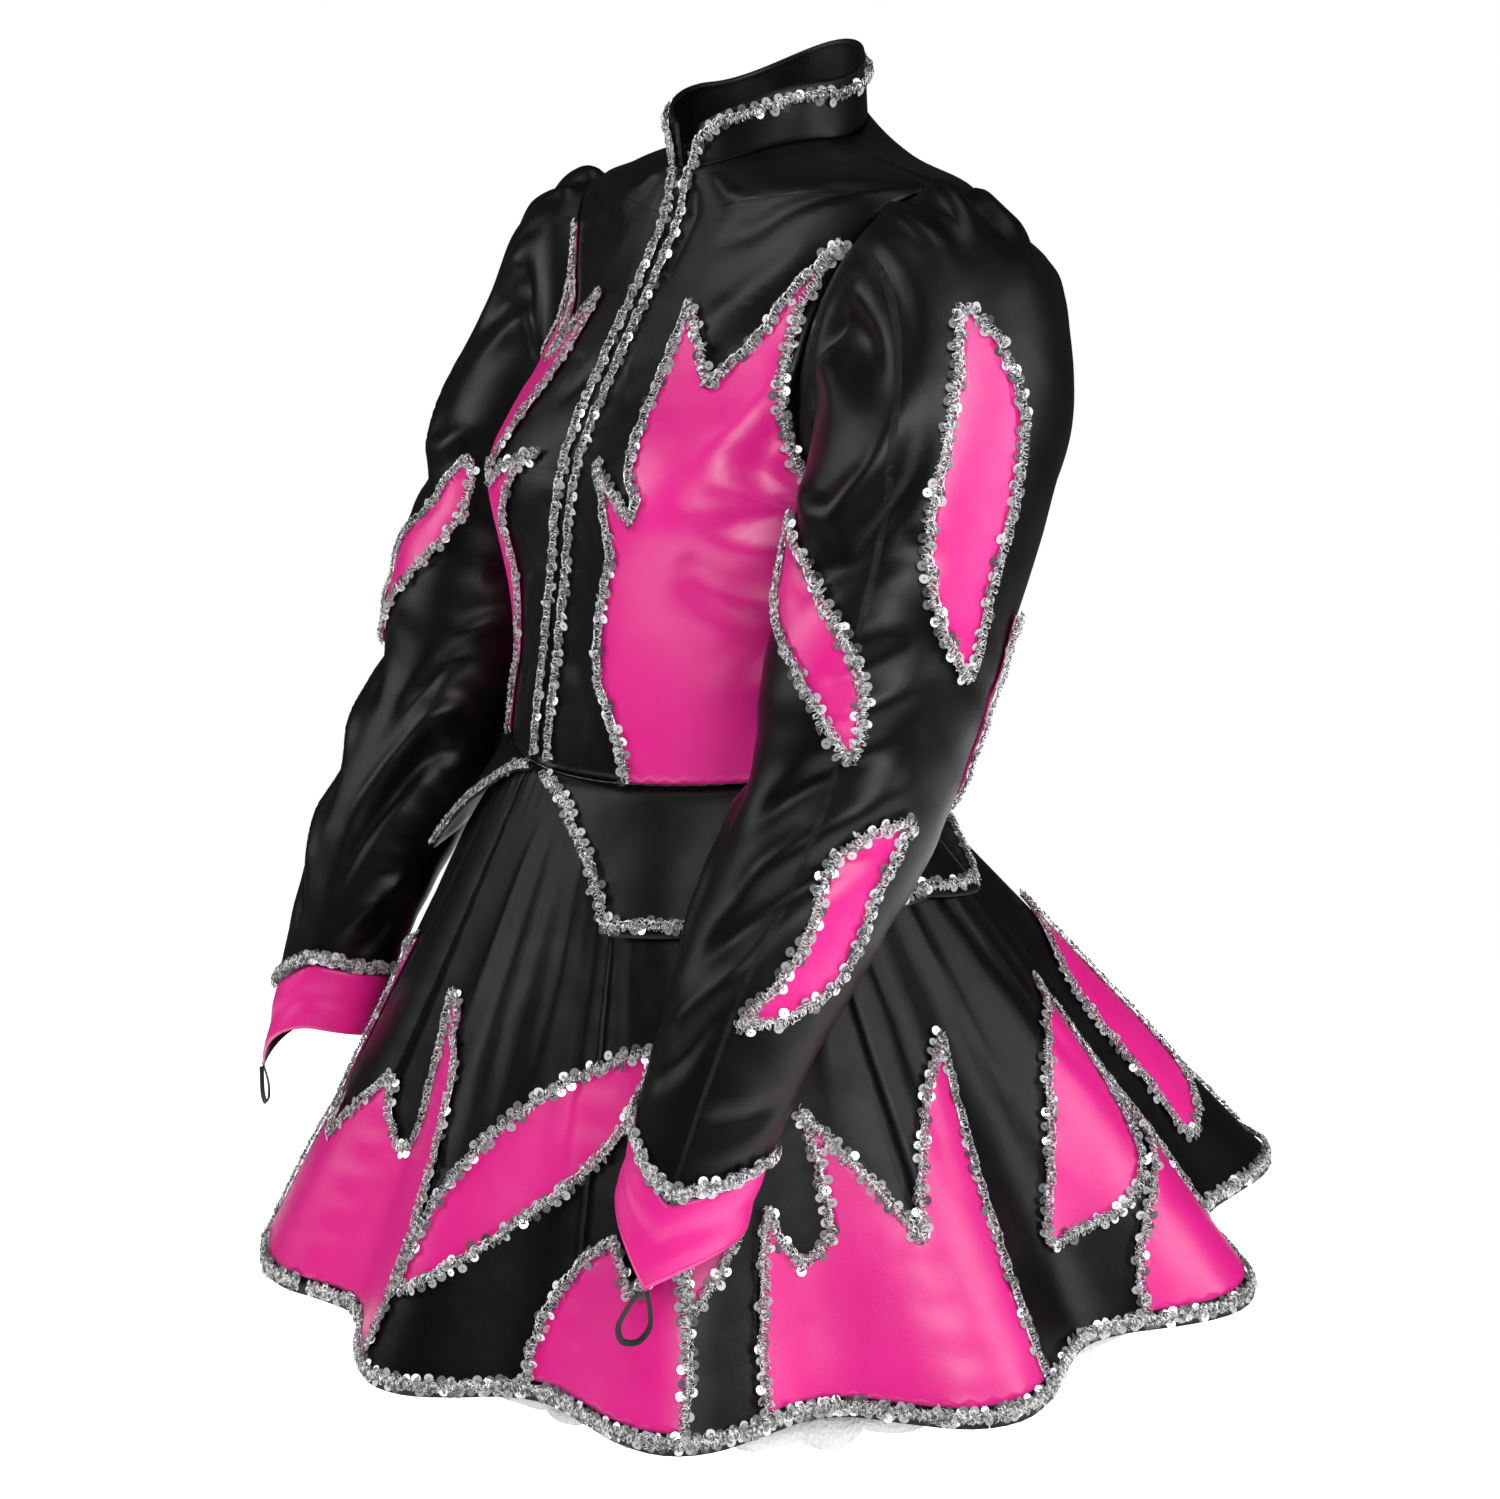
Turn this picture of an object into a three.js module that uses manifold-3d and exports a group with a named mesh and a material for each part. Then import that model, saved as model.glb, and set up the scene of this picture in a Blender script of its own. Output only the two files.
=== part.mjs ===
// A majorette's dress in black satin with pink satin flames: a fitted jacket bodice with a stand collar and a
// zip, gathered sleeves with pointed cuffs, a split peplum, and a short flared skirt over a lace petticoat.
// It keeps the hollow form in which it is worn. Sizes are in millimetres, +Z is up, the front faces -Y and
// the wearer's left is +X. The origin is the middle of the neck seam, which rests on the wearer's shoulders.
import * as THREE from "three";
import Module from "manifold-3d";

// Cloth and trim.
const CLOTH = 1.2; // a satin panel with its backing
const SEAM_GAP = 0.3; // between two pieces that meet at a seam
const APPLIQUE = 0.8; // a pink satin motif
const APPLIQUE_LIFT = 0.9; // how far a motif lies off its panel
const BRAID_WIDTH = 11;
const BRAID_HEIGHT = 2.2;
const LACE = 1.0;

// The two sides. The right arm hangs a little nearer the body and lower than the left.
const SIDES = [
  { name: "left", sign: 1, tuck: 0, drop: 0, forward: 0 },
  { name: "right", sign: -1, tuck: 20, drop: 38, forward: 8 },
];

// Colours and finishes, one material for each kind of piece.
const BLACK_SATIN = { color: 0x0b0b0d, roughness: 0.38, metalness: 0 };
const PINK_SATIN = { color: 0xd81584, roughness: 0.42, metalness: 0 };
const SEQUIN_BRAID = { color: 0xc9ccd1, roughness: 0.3, metalness: 0.8 };
const WHITE_LACE = { color: 0xf2f2f0, roughness: 0.9, metalness: 0 };
const BLACK_ELASTIC = { color: 0x101012, roughness: 0.8, metalness: 0 };
const BLACK_TAPE = { color: 0x0d0d0f, roughness: 0.7, metalness: 0 };
const BLACK_METAL = { color: 0x1a1a1c, roughness: 0.4, metalness: 0.6 };

const dress = new THREE.Group();

function add(name, geometry, finish) {
  const mesh = new THREE.Mesh(geometry, new THREE.MeshStandardMaterial(finish));
  mesh.name = name;
  dress.add(mesh);
  return mesh;
}

// Plain maths.
const { clamp, lerp, degToRad } = THREE.MathUtils;
const smooth = (x) => THREE.MathUtils.smoothstep(x, 0, 1);
const sinOf = (degrees) => Math.sin(degToRad(degrees));
const cosOf = (degrees) => Math.cos(degToRad(degrees));
const steps = (from, to, count) => Array.from({ length: count + 1 }, (_, i) => lerp(from, to, i / count));
const bump = (x, middle, width) => Math.exp(-(((x - middle) / width) ** 2));

// The value of one column of a table of evenly spaced rows, on a smooth curve, from along 0 to 1.
function column(rows, key, along) {
  const last = rows.length - 1;
  const at = (k) => rows[clamp(k, 0, last)][key];
  const x = clamp(along, 0, 1) * last;
  const i = Math.min(Math.floor(x), last - 1);
  const f = x - i;
  const [b, c] = [at(i), at(i + 1)];
  const a = i > 0 ? at(i - 1) : 2 * b - c;
  const d = i < last - 1 ? at(i + 2) : 2 * c - b;
  return b + 0.5 * f * (c - a + f * (2 * a - 5 * b + 4 * c - d + f * (3 * (b - c) + d - a)));
}

// The value of a key at a place in a table whose rows give the place themselves, on straight stretches.
function between(rows, place, key, x) {
  const next = rows.findIndex((row) => row[place] >= x);
  if (next < 0) return rows[rows.length - 1][key];
  if (next === 0) return rows[0][key];
  const [a, b] = [rows[next - 1], rows[next]];
  return lerp(a[key], b[key], (x - a[place]) / (b[place] - a[place]));
}

// A net is a surface taken at the crossings of its lines u and v, with the outward normal at each crossing.
// Panels are built on its crossings, and what lies on a panel is built on the flat facets between them.
const NORMAL_STEP = 1e-3;

function net(surface, us, vs, outward = 1) {
  const spots = vs.map((v) =>
    us.map((u) => {
      const du = NORMAL_STEP * (us[us.length - 1] - us[0]);
      const dv = NORMAL_STEP * (vs[vs.length - 1] - vs[0]);
      const alongU = surface(u + du, v).sub(surface(u - du, v));
      const alongV = surface(u, v + dv).sub(surface(u, v - dv));
      const normal = alongU.cross(alongV).normalize().multiplyScalar(outward);
      return { point: surface(u, v), normal };
    }),
  );
  return { us, vs, spots };
}

// The point and normal on a net's facets at u and v. Each cell is two triangles that share its rising diagonal.
function spotOn(mesh, u, v) {
  const cell = (lines, x) => {
    let k = 0;
    while (k < lines.length - 2 && x > lines[k + 1]) k += 1;
    return [k, (x - lines[k]) / (lines[k + 1] - lines[k])];
  };
  const [j, f] = cell(mesh.us, u);
  const [i, g] = cell(mesh.vs, v);
  const [low, high] = [mesh.spots[i], mesh.spots[i + 1]];
  const corners =
    f > g
      ? [[low[j], 1 - f], [low[j + 1], f - g], [high[j + 1], g]]
      : [[low[j], 1 - g], [high[j], g - f], [high[j + 1], f]];
  const sum = (key) => corners.reduce((s, [c, w]) => s.addScaledVector(c[key], w), new THREE.Vector3());
  return { point: sum("point"), normal: sum("normal").normalize() };
}

// A closed piece of cloth over lines of [u, v] places on a net. Neighbouring lines may have different numbers of
// places, and triangles join them like the teeth of a zip. The piece fills the space from lift under to lift over.
// A loop is a piece whose last line meets its first.
function cloth(mesh, lines, under, over, loop = false) {
  const positions = [];
  const outer = [];
  const inner = [];
  for (const line of lines) {
    const ids = line.map(([u, v]) => {
      const { point, normal } = spotOn(mesh, u, v);
      for (const lift of [over, under]) {
        const moved = point.clone().addScaledVector(normal, lift);
        positions.push(moved.x, moved.y, moved.z);
      }
      return positions.length / 3 - 2;
    });
    outer.push(ids);
    inner.push(ids.map((id) => id + 1));
  }
  const faces = [];
  const quad = (a, b, c, d) => faces.push(a, b, c, a, c, d);
  const pairs = lines.length - (loop ? 0 : 1);
  for (let k = 0; k < pairs; k += 1) {
    const next = (k + 1) % lines.length;
    const [p, q] = [outer[k], outer[next]];
    let i = 0;
    let j = 0;
    while (i < p.length - 1 || j < q.length - 1) {
      const done = i === p.length - 1;
      const stepQ = j < q.length - 1 && (done || lines[next][j + 1][1] <= lines[k][i + 1][1]);
      if (stepQ) {
        faces.push(p[i], q[j + 1], q[j]);
        faces.push(inner[k][i], inner[next][j], inner[next][j + 1]);
        j += 1;
      } else {
        faces.push(p[i], p[i + 1], q[j]);
        faces.push(inner[k][i], inner[next][j], inner[k][i + 1]);
        i += 1;
      }
    }
    quad(p[0], q[0], inner[next][0], inner[k][0]);
    const [pe, qe] = [p.length - 1, q.length - 1];
    quad(q[qe], p[pe], inner[k][pe], inner[next][qe]);
  }
  if (!loop) {
    const edge = (o, n, flip) => {
      for (let i = 0; i < o.length - 1; i += 1) {
        if (flip) quad(o[i], o[i + 1], n[i + 1], n[i]);
        else quad(o[i + 1], o[i], n[i], n[i + 1]);
      }
    };
    edge(outer[0], inner[0], false);
    edge(outer[outer.length - 1], inner[inner.length - 1], true);
  }
  return closed(positions, faces);
}

// A geometry from positions and faces, with its faces turned to point out.
function closed(positions, faces) {
  const corner = (id) => new THREE.Vector3().fromArray(positions, 3 * id);
  let volume = 0;
  for (let k = 0; k < faces.length; k += 3) {
    volume += corner(faces[k]).dot(corner(faces[k + 1]).cross(corner(faces[k + 2])));
  }
  const turned = volume < 0 ? faces.slice().reverse() : faces;
  const geometry = new THREE.BufferGeometry();
  geometry.setAttribute("position", new THREE.Float32BufferAttribute(positions, 3));
  geometry.setIndex(turned);
  geometry.computeVertexNormals();
  return geometry;
}

// A strip of braid along a path of [u, v] places on a net, centred on the path.
function braidAlong(mesh, path, under, loop = false) {
  const spots = path.map(([u, v]) => spotOn(mesh, u, v));
  return strip(spots, BRAID_WIDTH, under, under + BRAID_HEIGHT, loop);
}

// A strip with a rectangular section along spots, which are points with normals.
function strip(spots, width, under, over, loop = false) {
  const count = spots.length;
  const at = (k) => spots[loop ? (k + count) % count : clamp(k, 0, count - 1)];
  const positions = [];
  spots.forEach(({ point, normal }, k) => {
    const before = point.clone().sub(at(k - 1).point).normalize();
    const after = at(k + 1).point.clone().sub(point).normalize();
    const forward = before.clone().add(after).normalize();
    const mitre = 1 / Math.max(0.6, forward.dot(after.lengthSq() > 0 ? after : before));
    const across = forward.clone().cross(normal).normalize();
    for (const [side, lift] of [[-0.5, under], [0.5, under], [0.5, over], [-0.5, over]]) {
      const p = point.clone().addScaledVector(across, side * width * mitre).addScaledVector(normal, lift);
      positions.push(p.x, p.y, p.z);
    }
  });
  const faces = [];
  for (let k = 0; k < count - (loop ? 0 : 1); k += 1) {
    const a = 4 * k;
    const b = 4 * ((k + 1) % count);
    for (let c = 0; c < 4; c += 1) {
      const d = (c + 1) % 4;
      faces.push(a + c, a + d, b + d, a + c, b + d, b + c);
    }
  }
  if (!loop) {
    const e = 4 * (count - 1);
    faces.push(0, 2, 1, 0, 3, 2, e, e + 1, e + 2, e, e + 2, e + 3);
  }
  return closed(positions, faces);
}

// The bodice: sections from the waist seam up to the neck seam. The seam heights are given at the front, side
// and back; centre is the section's middle along Y; a fuller section has a squareness above 2.
const BODICE_SECTIONS = [
  { zFront: -372, zSide: -366, zBack: -360, half: 121, centre: -56, front: 106, back: 92, square: 2.0 },
  { zFront: -318, zSide: -314, zBack: -308, half: 126, centre: -48, front: 106, back: 94, square: 2.05 },
  { zFront: -258, zSide: -258, zBack: -254, half: 136, centre: -38, front: 106, back: 98, square: 2.2 },
  { zFront: -196, zSide: -205, zBack: -200, half: 146, centre: -28, front: 105, back: 106, square: 2.3 },
  { zFront: -140, zSide: -158, zBack: -148, half: 152, centre: -16, front: 92, back: 108, square: 2.3 },
  { zFront: -96, zSide: -102, zBack: -96, half: 162, centre: -8, front: 76, back: 100, square: 2.2 },
  { zFront: -62, zSide: -45, zBack: -50, half: 170, centre: -2, front: 64, back: 84, square: 2.1 },
  { zFront: -42, zSide: -26, zBack: -16, half: 112, centre: 0, front: 61, back: 68, square: 2.0 },
  { zFront: -30, zSide: -14, zBack: 6, half: 60, centre: 0, front: 58, back: 60, square: 2.0 },
];
const BUST = { angle: 40, spread: 24, level: 0.36, reach: 0.13, out: 22 };

// A point on a closed section that is part ellipse and part box.
function sectionPoint(angle, half, depth, square) {
  const x = Math.abs(sinOf(angle)) / half;
  const y = Math.abs(cosOf(angle)) / depth;
  return 1 / (x ** square + y ** square) ** (1 / square);
}

function bodice(angle, level) {
  const get = (key) => column(BODICE_SECTIONS, key, level);
  const toFront = cosOf(angle) > 0;
  let radius = sectionPoint(angle, get("half"), get(toFront ? "front" : "back"), get("square"));
  const lift = bump(level, BUST.level, BUST.reach) * BUST.out;
  for (const { sign } of SIDES) radius += lift * bump(angle, sign * BUST.angle, BUST.spread);
  const side = get("zSide");
  const z = side + (get(toFront ? "zFront" : "zBack") - side) * cosOf(angle) ** 2;
  return new THREE.Vector3(radius * sinOf(angle), get("centre") - radius * cosOf(angle), z);
}

// The armhole is an oval gap in the bodice round its side, from the underarm to the shoulder tip.
const ARMHOLE = { middle: 0.57, reach: 0.205, opening: 23, taper: 0.25 };
const SIDE_ANGLE = 90;
const SHOULDER_LEVEL = ARMHOLE.middle + ARMHOLE.reach;

function armholeOpening(level) {
  const x = (level - ARMHOLE.middle) / ARMHOLE.reach;
  return Math.abs(x) < 1 ? ARMHOLE.opening * (1 - ARMHOLE.taper * x) * Math.sqrt(1 - x * x) : 0;
}

// Places across a panel run from 0 at its inner edge to 1 at its side, and up from 0 at the waist to 1 at the neck.
const SEAM_ANGLE = 0.15; // half a seam gap, as an angle of the section
const panelLevels = [
  0, 0.1, 0.2, 0.29,
  ...[-0.98, -0.86, -0.6, -0.3, 0, 0.3, 0.6, 0.86, 0.98].map((x) => ARMHOLE.middle + x * ARMHOLE.reach),
  0.86, 0.94, 1,
];

function frontSurface(sign) {
  return (across, level) => {
    const edge = SIDE_ANGLE - SEAM_ANGLE - armholeOpening(level);
    return bodice(sign * lerp(SEAM_ANGLE, edge, across), level);
  };
}

function backSurface(across, level) {
  const edge = SIDE_ANGLE + SEAM_ANGLE + armholeOpening(level);
  return bodice(lerp(edge, 360 - edge, across), level);
}

const FRONT_COLUMNS = 10;
const BACK_COLUMNS = 16;
const frontNets = {};
for (const { name, sign } of SIDES) {
  frontNets[name] = net(frontSurface(sign), steps(0, 1, FRONT_COLUMNS), panelLevels, sign);
  add(`bodice_front_${name}`, panel(frontNets[name], -CLOTH, 0), BLACK_SATIN);
}
const backNet = net(backSurface, steps(0, 1, BACK_COLUMNS), panelLevels);
add("bodice_back", panel(backNet, -CLOTH, 0), BLACK_SATIN);

// A whole net as one piece of cloth.
function panel(mesh, under, over, loop = false) {
  const us = loop ? mesh.us.slice(0, -1) : mesh.us;
  return cloth(mesh, us.map((u) => mesh.vs.map((v) => [u, v])), under, over, loop);
}

// A motif on a net: a row for each column gives its place across and the places where it starts and stops. Its
// lines also run where its edge crosses a line of the net, so that it lies flat on every facet.
const CLOSE = 0.08; // lines nearer than this share of the net's spacing are one

function motif(mesh, rows, under = APPLIQUE_LIFT, over = APPLIQUE_LIFT + APPLIQUE) {
  const [first, last] = [rows[0].across, rows[rows.length - 1].across];
  const least = (mesh.us[2] - mesh.us[1]) * CLOSE;
  const onNet = (u) => mesh.us.find((x) => Math.abs(x - u) < least) ?? u;
  const snapped = rows.map((row) => ({ ...row, across: onNet(row.across) }));
  const edgeAt = (key, u) => between(snapped, "across", key, u);
  const free = (u, list) => list.every((x) => Math.abs(x - u) > least);
  const netPlaces = mesh.us.filter((u) => u > first && u < last);
  const places = [...new Set([...snapped.map((row) => row.across), ...netPlaces])].sort((a, b) => a - b);
  const columns = places.slice();
  for (let k = 0; k < columns.length - 1; k += 1) {
    const [from, to] = [columns[k], columns[k + 1]];
    for (const key of ["low", "high"]) {
      const [start, stop] = [edgeAt(key, from), edgeAt(key, to)];
      for (const v of mesh.vs.filter((x) => (start - x) * (stop - x) < 0)) {
        const crossing = lerp(from, to, (v - start) / (stop - start));
        if (to - from > 2 * least && free(crossing, places)) places.push(crossing);
      }
    }
  }
  const lines = places.sort((a, b) => a - b).map((u) => {
    const [low, high] = [edgeAt("low", u), edgeAt("high", u)];
    const margin = 0.02 * (high - low);
    const inside = facetPlaces(mesh, u).filter((v) => v > low + margin && v < high - margin);
    return [low, ...inside, high].map((v) => [u, v]);
  });
  return cloth(mesh, lines, under, over);
}

// Where a column between the lines of a net crosses its rows and the diagonals of its cells.
function facetPlaces(mesh, u) {
  const next = mesh.us.findIndex((x) => x >= u);
  const [a, b] = [mesh.us[next - 1], mesh.us[next]];
  const share = next > 0 ? (u - a) / (b - a) : 1;
  const onColumn = share > 0.999;
  return mesh.vs.flatMap((v, i) => (onColumn || i === mesh.vs.length - 1 ? [v] : [v, lerp(v, mesh.vs[i + 1], share)]));
}

// The pink flame on each front: tongues that rise from the waist seam, the last of them along the armhole.
const FRONT_FLAME = [
  { across: 0.2, low: 0.366, high: 0.385 },
  { across: 0.25, low: 0.15, high: 0.37 },
  { across: 0.3, low: 0.04, high: 0.355 },
  { across: 0.4, low: 0.012, high: 0.34 },
  { across: 0.48, low: 0.012, high: 0.42 },
  { across: 0.5, low: 0.012, high: 0.6 },
  { across: 0.6, low: 0.012, high: 0.56 },
  { across: 0.7, low: 0.012, high: 0.505 },
  { across: 0.8, low: 0.012, high: 0.53 },
  { across: 0.9, low: 0.012, high: 0.6 },
  { across: 0.955, low: 0.012, high: 0.68 },
];
for (const { name } of SIDES) {
  add(`flame_front_${name}`, motif(frontNets[name], FRONT_FLAME), PINK_SATIN);
}

// The stand collar, which rises from the neck seam and parts at the front. It is higher at the nape.
const COLLAR = { gap: 0.45, front: 29, nape: 38, partBelow: 2, partAbove: 12, roundTop: 4, slope: 2 };

function collarSurface(across, up) {
  const part = lerp(COLLAR.partBelow, COLLAR.partAbove, up);
  const angle = lerp(part, 360 - part, across);
  const base = bodice(angle, 1);
  const middle = column(BODICE_SECTIONS, "centre", 1);
  const inward = new THREE.Vector3(-base.x, middle - base.y, 0).normalize();
  const corner = COLLAR.roundTop * Math.max(0, 1 - Math.min(across, 1 - across) * 14) ** 2;
  const height = lerp(COLLAR.front, COLLAR.nape, (1 - cosOf(angle)) / 2) - corner;
  const rise = COLLAR.gap + up * height;
  return base.addScaledVector(inward, COLLAR.slope * up).add(new THREE.Vector3(0, 0, rise));
}

const collarNet = net(collarSurface, steps(0, 1, 26), [0, 0.5, 1]);
add("collar", panel(collarNet, -CLOTH, 0), BLACK_SATIN);

// The sleeves: rings from the armhole to the wrist. Tilt turns a ring from upright, 90, to flat, 0; out is its
// half width away from the body and along is its half width from front to back.
const SLEEVE_RINGS = [
  { x: 162, y: -8, z: -124, tilt: 84, out: 80, along: 62 },
  { x: 174, y: -12, z: -124, tilt: 75, out: 84, along: 66 },
  { x: 188, y: -17, z: -134, tilt: 60, out: 80, along: 68 },
  { x: 200, y: -25, z: -156, tilt: 42, out: 70, along: 68 },
  { x: 207, y: -38, z: -184, tilt: 24, out: 63, along: 67 },
  { x: 211, y: -54, z: -222, tilt: 10, out: 60, along: 66 },
  { x: 215, y: -72, z: -264, tilt: 2, out: 58, along: 63 },
  { x: 218, y: -89, z: -308, tilt: -3, out: 56, along: 60 },
  { x: 221, y: -106, z: -352, tilt: -6, out: 52, along: 55 },
  { x: 223, y: -132, z: -394, tilt: -8, out: 48, along: 50 },
  { x: 224, y: -160, z: -436, tilt: -8, out: 44, along: 46 },
  { x: 225, y: -182, z: -478, tilt: -8, out: 40, along: 41 },
  { x: 225, y: -200, z: -520, tilt: -6, out: 36, along: 37 },
  { x: 224, y: -214, z: -562, tilt: -6, out: 35, along: 36 },
];
const CAP = { gathers: 9, depth: 4, fade: 0.16, arc: 62 };

// The top of the sleeve joins the bodice a seam gap inside the armhole.
function armholeSpot(turn) {
  const opening = (ARMHOLE.opening - 0.55) * (1 - ARMHOLE.taper * cosOf(turn));
  return bodice(SIDE_ANGLE - opening * sinOf(turn), ARMHOLE.middle + (ARMHOLE.reach - 0.005) * cosOf(turn));
}

function ringPoint(row, ahead, turn) {
  const centre = new THREE.Vector3(row.x, row.y, row.z);
  const outward = new THREE.Vector3(cosOf(row.tilt), 0, sinOf(row.tilt));
  const course = new THREE.Vector3(ahead.x - row.x, ahead.y - row.y, ahead.z - row.z).normalize();
  const forward = course.clone().cross(outward).normalize();
  if (forward.y > 0) forward.negate();
  return centre
    .addScaledVector(outward, row.out * cosOf(turn))
    .addScaledVector(forward, row.along * sinOf(turn));
}

// Turn 0 is the outer line of the sleeve, 90 its front and 180 the underarm seam.
function leftSleeve(turn, along) {
  const last = SLEEVE_RINGS.length - 1;
  const rings = SLEEVE_RINGS.map((row, k) => {
    if (k === 0) return armholeSpot(turn);
    const back = SLEEVE_RINGS[k - 1];
    const past = { x: 2 * row.x - back.x, y: 2 * row.y - back.y, z: 2 * row.z - back.z };
    return ringPoint(row, k < last ? SLEEVE_RINGS[k + 1] : past, turn);
  });
  const [x, y, z] = ["x", "y", "z"].map((key) => column(rings, key, along));
  const gather = Math.sin(degToRad(turn * CAP.gathers)) * smooth(1 - Math.abs(turn) / CAP.arc);
  const swell = CAP.depth * gather * Math.sin(Math.PI * clamp(along / CAP.fade, 0, 1));
  return new THREE.Vector3(x + 0.5 * swell, y, z + 0.86 * swell);
}

// Past its last ring the sleeve runs straight on, for the cuff.
function longSleeve(turn, along) {
  if (along <= 1) return leftSleeve(turn, along);
  const end = leftSleeve(turn, 1);
  const before = leftSleeve(turn, 0.98);
  return end.add(end.clone().sub(before).multiplyScalar((along - 1) / 0.02));
}

// The sleeve of one side, with that arm's hang.
function sleeveOf({ sign, tuck, drop, forward }) {
  return (turn, along) => {
    const { x, y, z } = longSleeve(turn, along);
    const bent = smooth((along - 0.3) / 0.45);
    return new THREE.Vector3(sign * (x - tuck * bent), y - forward * bent, z - drop * along * smooth(along * 3));
  };
}

// The cuff seam dips to a point over the back of the hand, and the cuff ends in a longer one.
const CUFF = { point: 52, dipArc: 75, dip: 0.045, length: 0.068, tipArc: 95, tip: 0.06, start: 0.915 };
const pointAt = (turn, arc) => {
  const away = Math.abs(((turn - CUFF.point + 540) % 360) - 180);
  return Math.max(0, 1 - away / arc);
};
const sleeveEnd = (turn) => CUFF.start + CUFF.dip * pointAt(turn, CUFF.dipArc);
const cuffEnd = (turn) => CUFF.start + CUFF.length + CUFF.tip * pointAt(turn, CUFF.tipArc) ** 1.2;

// Leaves on the sleeve: where each starts and stops, as a turn and a share of the sleeve's length.
const SLEEVE_LEAVES = [
  { name: "upper", turn: 16, from: 0.215, turnEnd: -9, to: 0.56, belly: 21 },
  { name: "front", turn: 122, from: 0.41, turnEnd: 38, to: 0.59, belly: 15 },
  { name: "lower", turn: -8, from: 0.63, turnEnd: 44, to: 0.83, belly: 18 },
  { name: "back", turn: -38, from: 0.46, turnEnd: -98, to: 0.66, belly: 15 },
];

// The rows of a leaf for motif: a lens with a slight S along the line between its two tips.
function leaf(mesh, across, from, acrossEnd, to, belly) {
  const samples = steps(0, 1, 400).map((t) => {
    const bend = 0.25 * belly * Math.sin(2 * Math.PI * t);
    return { middle: lerp(across, acrossEnd, t) + bend, half: belly * Math.sin(Math.PI * t), at: lerp(from, to, t) };
  });
  const left = Math.min(...samples.map((s) => s.middle - s.half));
  const right = Math.max(...samples.map((s) => s.middle + s.half));
  const columns = [lerp(left, right, 0.03), ...mesh.us.filter((u) => u > left && u < right), lerp(right, left, 0.03)];
  return columns
    .sort((a, b) => a - b)
    .map((u) => {
      const held = samples.filter((s) => Math.abs(u - s.middle) <= s.half).map((s) => s.at);
      return { across: u, low: Math.min(...held) - 0.004, high: Math.max(...held) + 0.004 };
    });
}

// A loop of flat elastic hangs from the cuff's point and holds it over the middle finger.
const LOOP = { width: 3.6, thick: 1.2, drop: 30, reach: 9, start: 2.2, below: 0.5, sides: 8, steps: 11 };

function fingerLoop(arm, { sign }) {
  const tip = arm(CUFF.point, cuffEnd(CUFF.point));
  const across = new THREE.Vector3(0.77, -0.64 * sign, 0);
  const place = ([side, down]) => tip.clone().addScaledVector(across, side).add(new THREE.Vector3(0, 0, -down));
  const { drop, reach, start, below } = LOOP;
  const course = [
    [-start, below], [-reach * 0.8, drop * 0.4], [-reach, drop * 0.7], [-reach * 0.5, drop * 0.96],
    [reach * 0.5, drop * 0.96], [reach, drop * 0.7], [reach * 0.8, drop * 0.4], [start, below],
  ];
  const path = new THREE.CatmullRomCurve3(course.map(place));
  const section = new THREE.Shape(
    Array.from({ length: LOOP.sides }, (_, k) => {
      const turn = (360 * (k + 0.5)) / LOOP.sides;
      return new THREE.Vector2((LOOP.thick / 2) * cosOf(turn), (LOOP.width / 2) * sinOf(turn));
    }),
  );
  return new THREE.ExtrudeGeometry(section, { steps: LOOP.steps, extrudePath: path });
}

const SLEEVE_COLUMNS = 18;
const sleeveLevels = [0, 0.03, 0.075, 0.13, 0.2, 0.28, 0.37, 0.46, 0.55, 0.64, 0.73, 0.82, 0.91, 1];
const turns = steps(CUFF.point - 240, CUFF.point + 120, SLEEVE_COLUMNS);
for (const side of SIDES) {
  const arm = sleeveOf(side);
  const sleeveNet = net((turn, share) => arm(turn, share * sleeveEnd(turn)), turns, sleeveLevels, side.sign);
  add(`sleeve_${side.name}`, panel(sleeveNet, -CLOTH, 0, true), BLACK_SATIN);
  for (const { name, turn, from, turnEnd, to, belly } of SLEEVE_LEAVES) {
    const rows = leaf(sleeveNet, turn, from, turnEnd, to, belly);
    add(`leaf_sleeve_${name}_${side.name}`, motif(sleeveNet, rows), PINK_SATIN);
  }
  const cuffPlace = (turn, share) => arm(turn, lerp(sleeveEnd(turn) + 0.0006, cuffEnd(turn), share));
  const cuffNet = net(cuffPlace, turns, [0, 0.5, 1], side.sign);
  add(`cuff_${side.name}`, panel(cuffNet, -CLOTH, 0, true), PINK_SATIN);
  const cuffBraid = turns.slice(0, -1).map((turn) => [turn, 0.985 - 0.015 * pointAt(turn, 40)]);
  add(`cuff_braid_${side.name}`, braidAlong(sleeveNet, cuffBraid, 0.7, true), SEQUIN_BRAID);
  add(`finger_loop_${side.name}`, fingerLoop(arm, side), BLACK_ELASTIC);
}

// The skirt: a flared round of eight gores. Rise is 0 at the hem and 1 at the waist. The hem reaches further
// out and is a little higher at the back.
const SKIRT = { waistDrop: 0.4, hemFront: 285, hemBack: 347, hemMiddle: -30, zFront: -690, zBack: -674, ease: 1.3 };
const GORES = 8;
const FIRST_SEAM = -8;
const GORE_COLUMNS = 10;
const FOLDS = [
  { crest: -16, depth: 16 },
  { crest: 15, depth: 18 },
  { crest: 50, depth: 17 },
  { crest: 84, depth: 19 },
  { crest: 118, depth: 25 },
  { crest: 151, depth: 24 },
  { crest: 184, depth: 22 },
  { crest: 216, depth: 24 },
  { crest: 248, depth: 20 },
  { crest: 281, depth: 21 },
  { crest: 344, depth: 16 },
];

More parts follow.
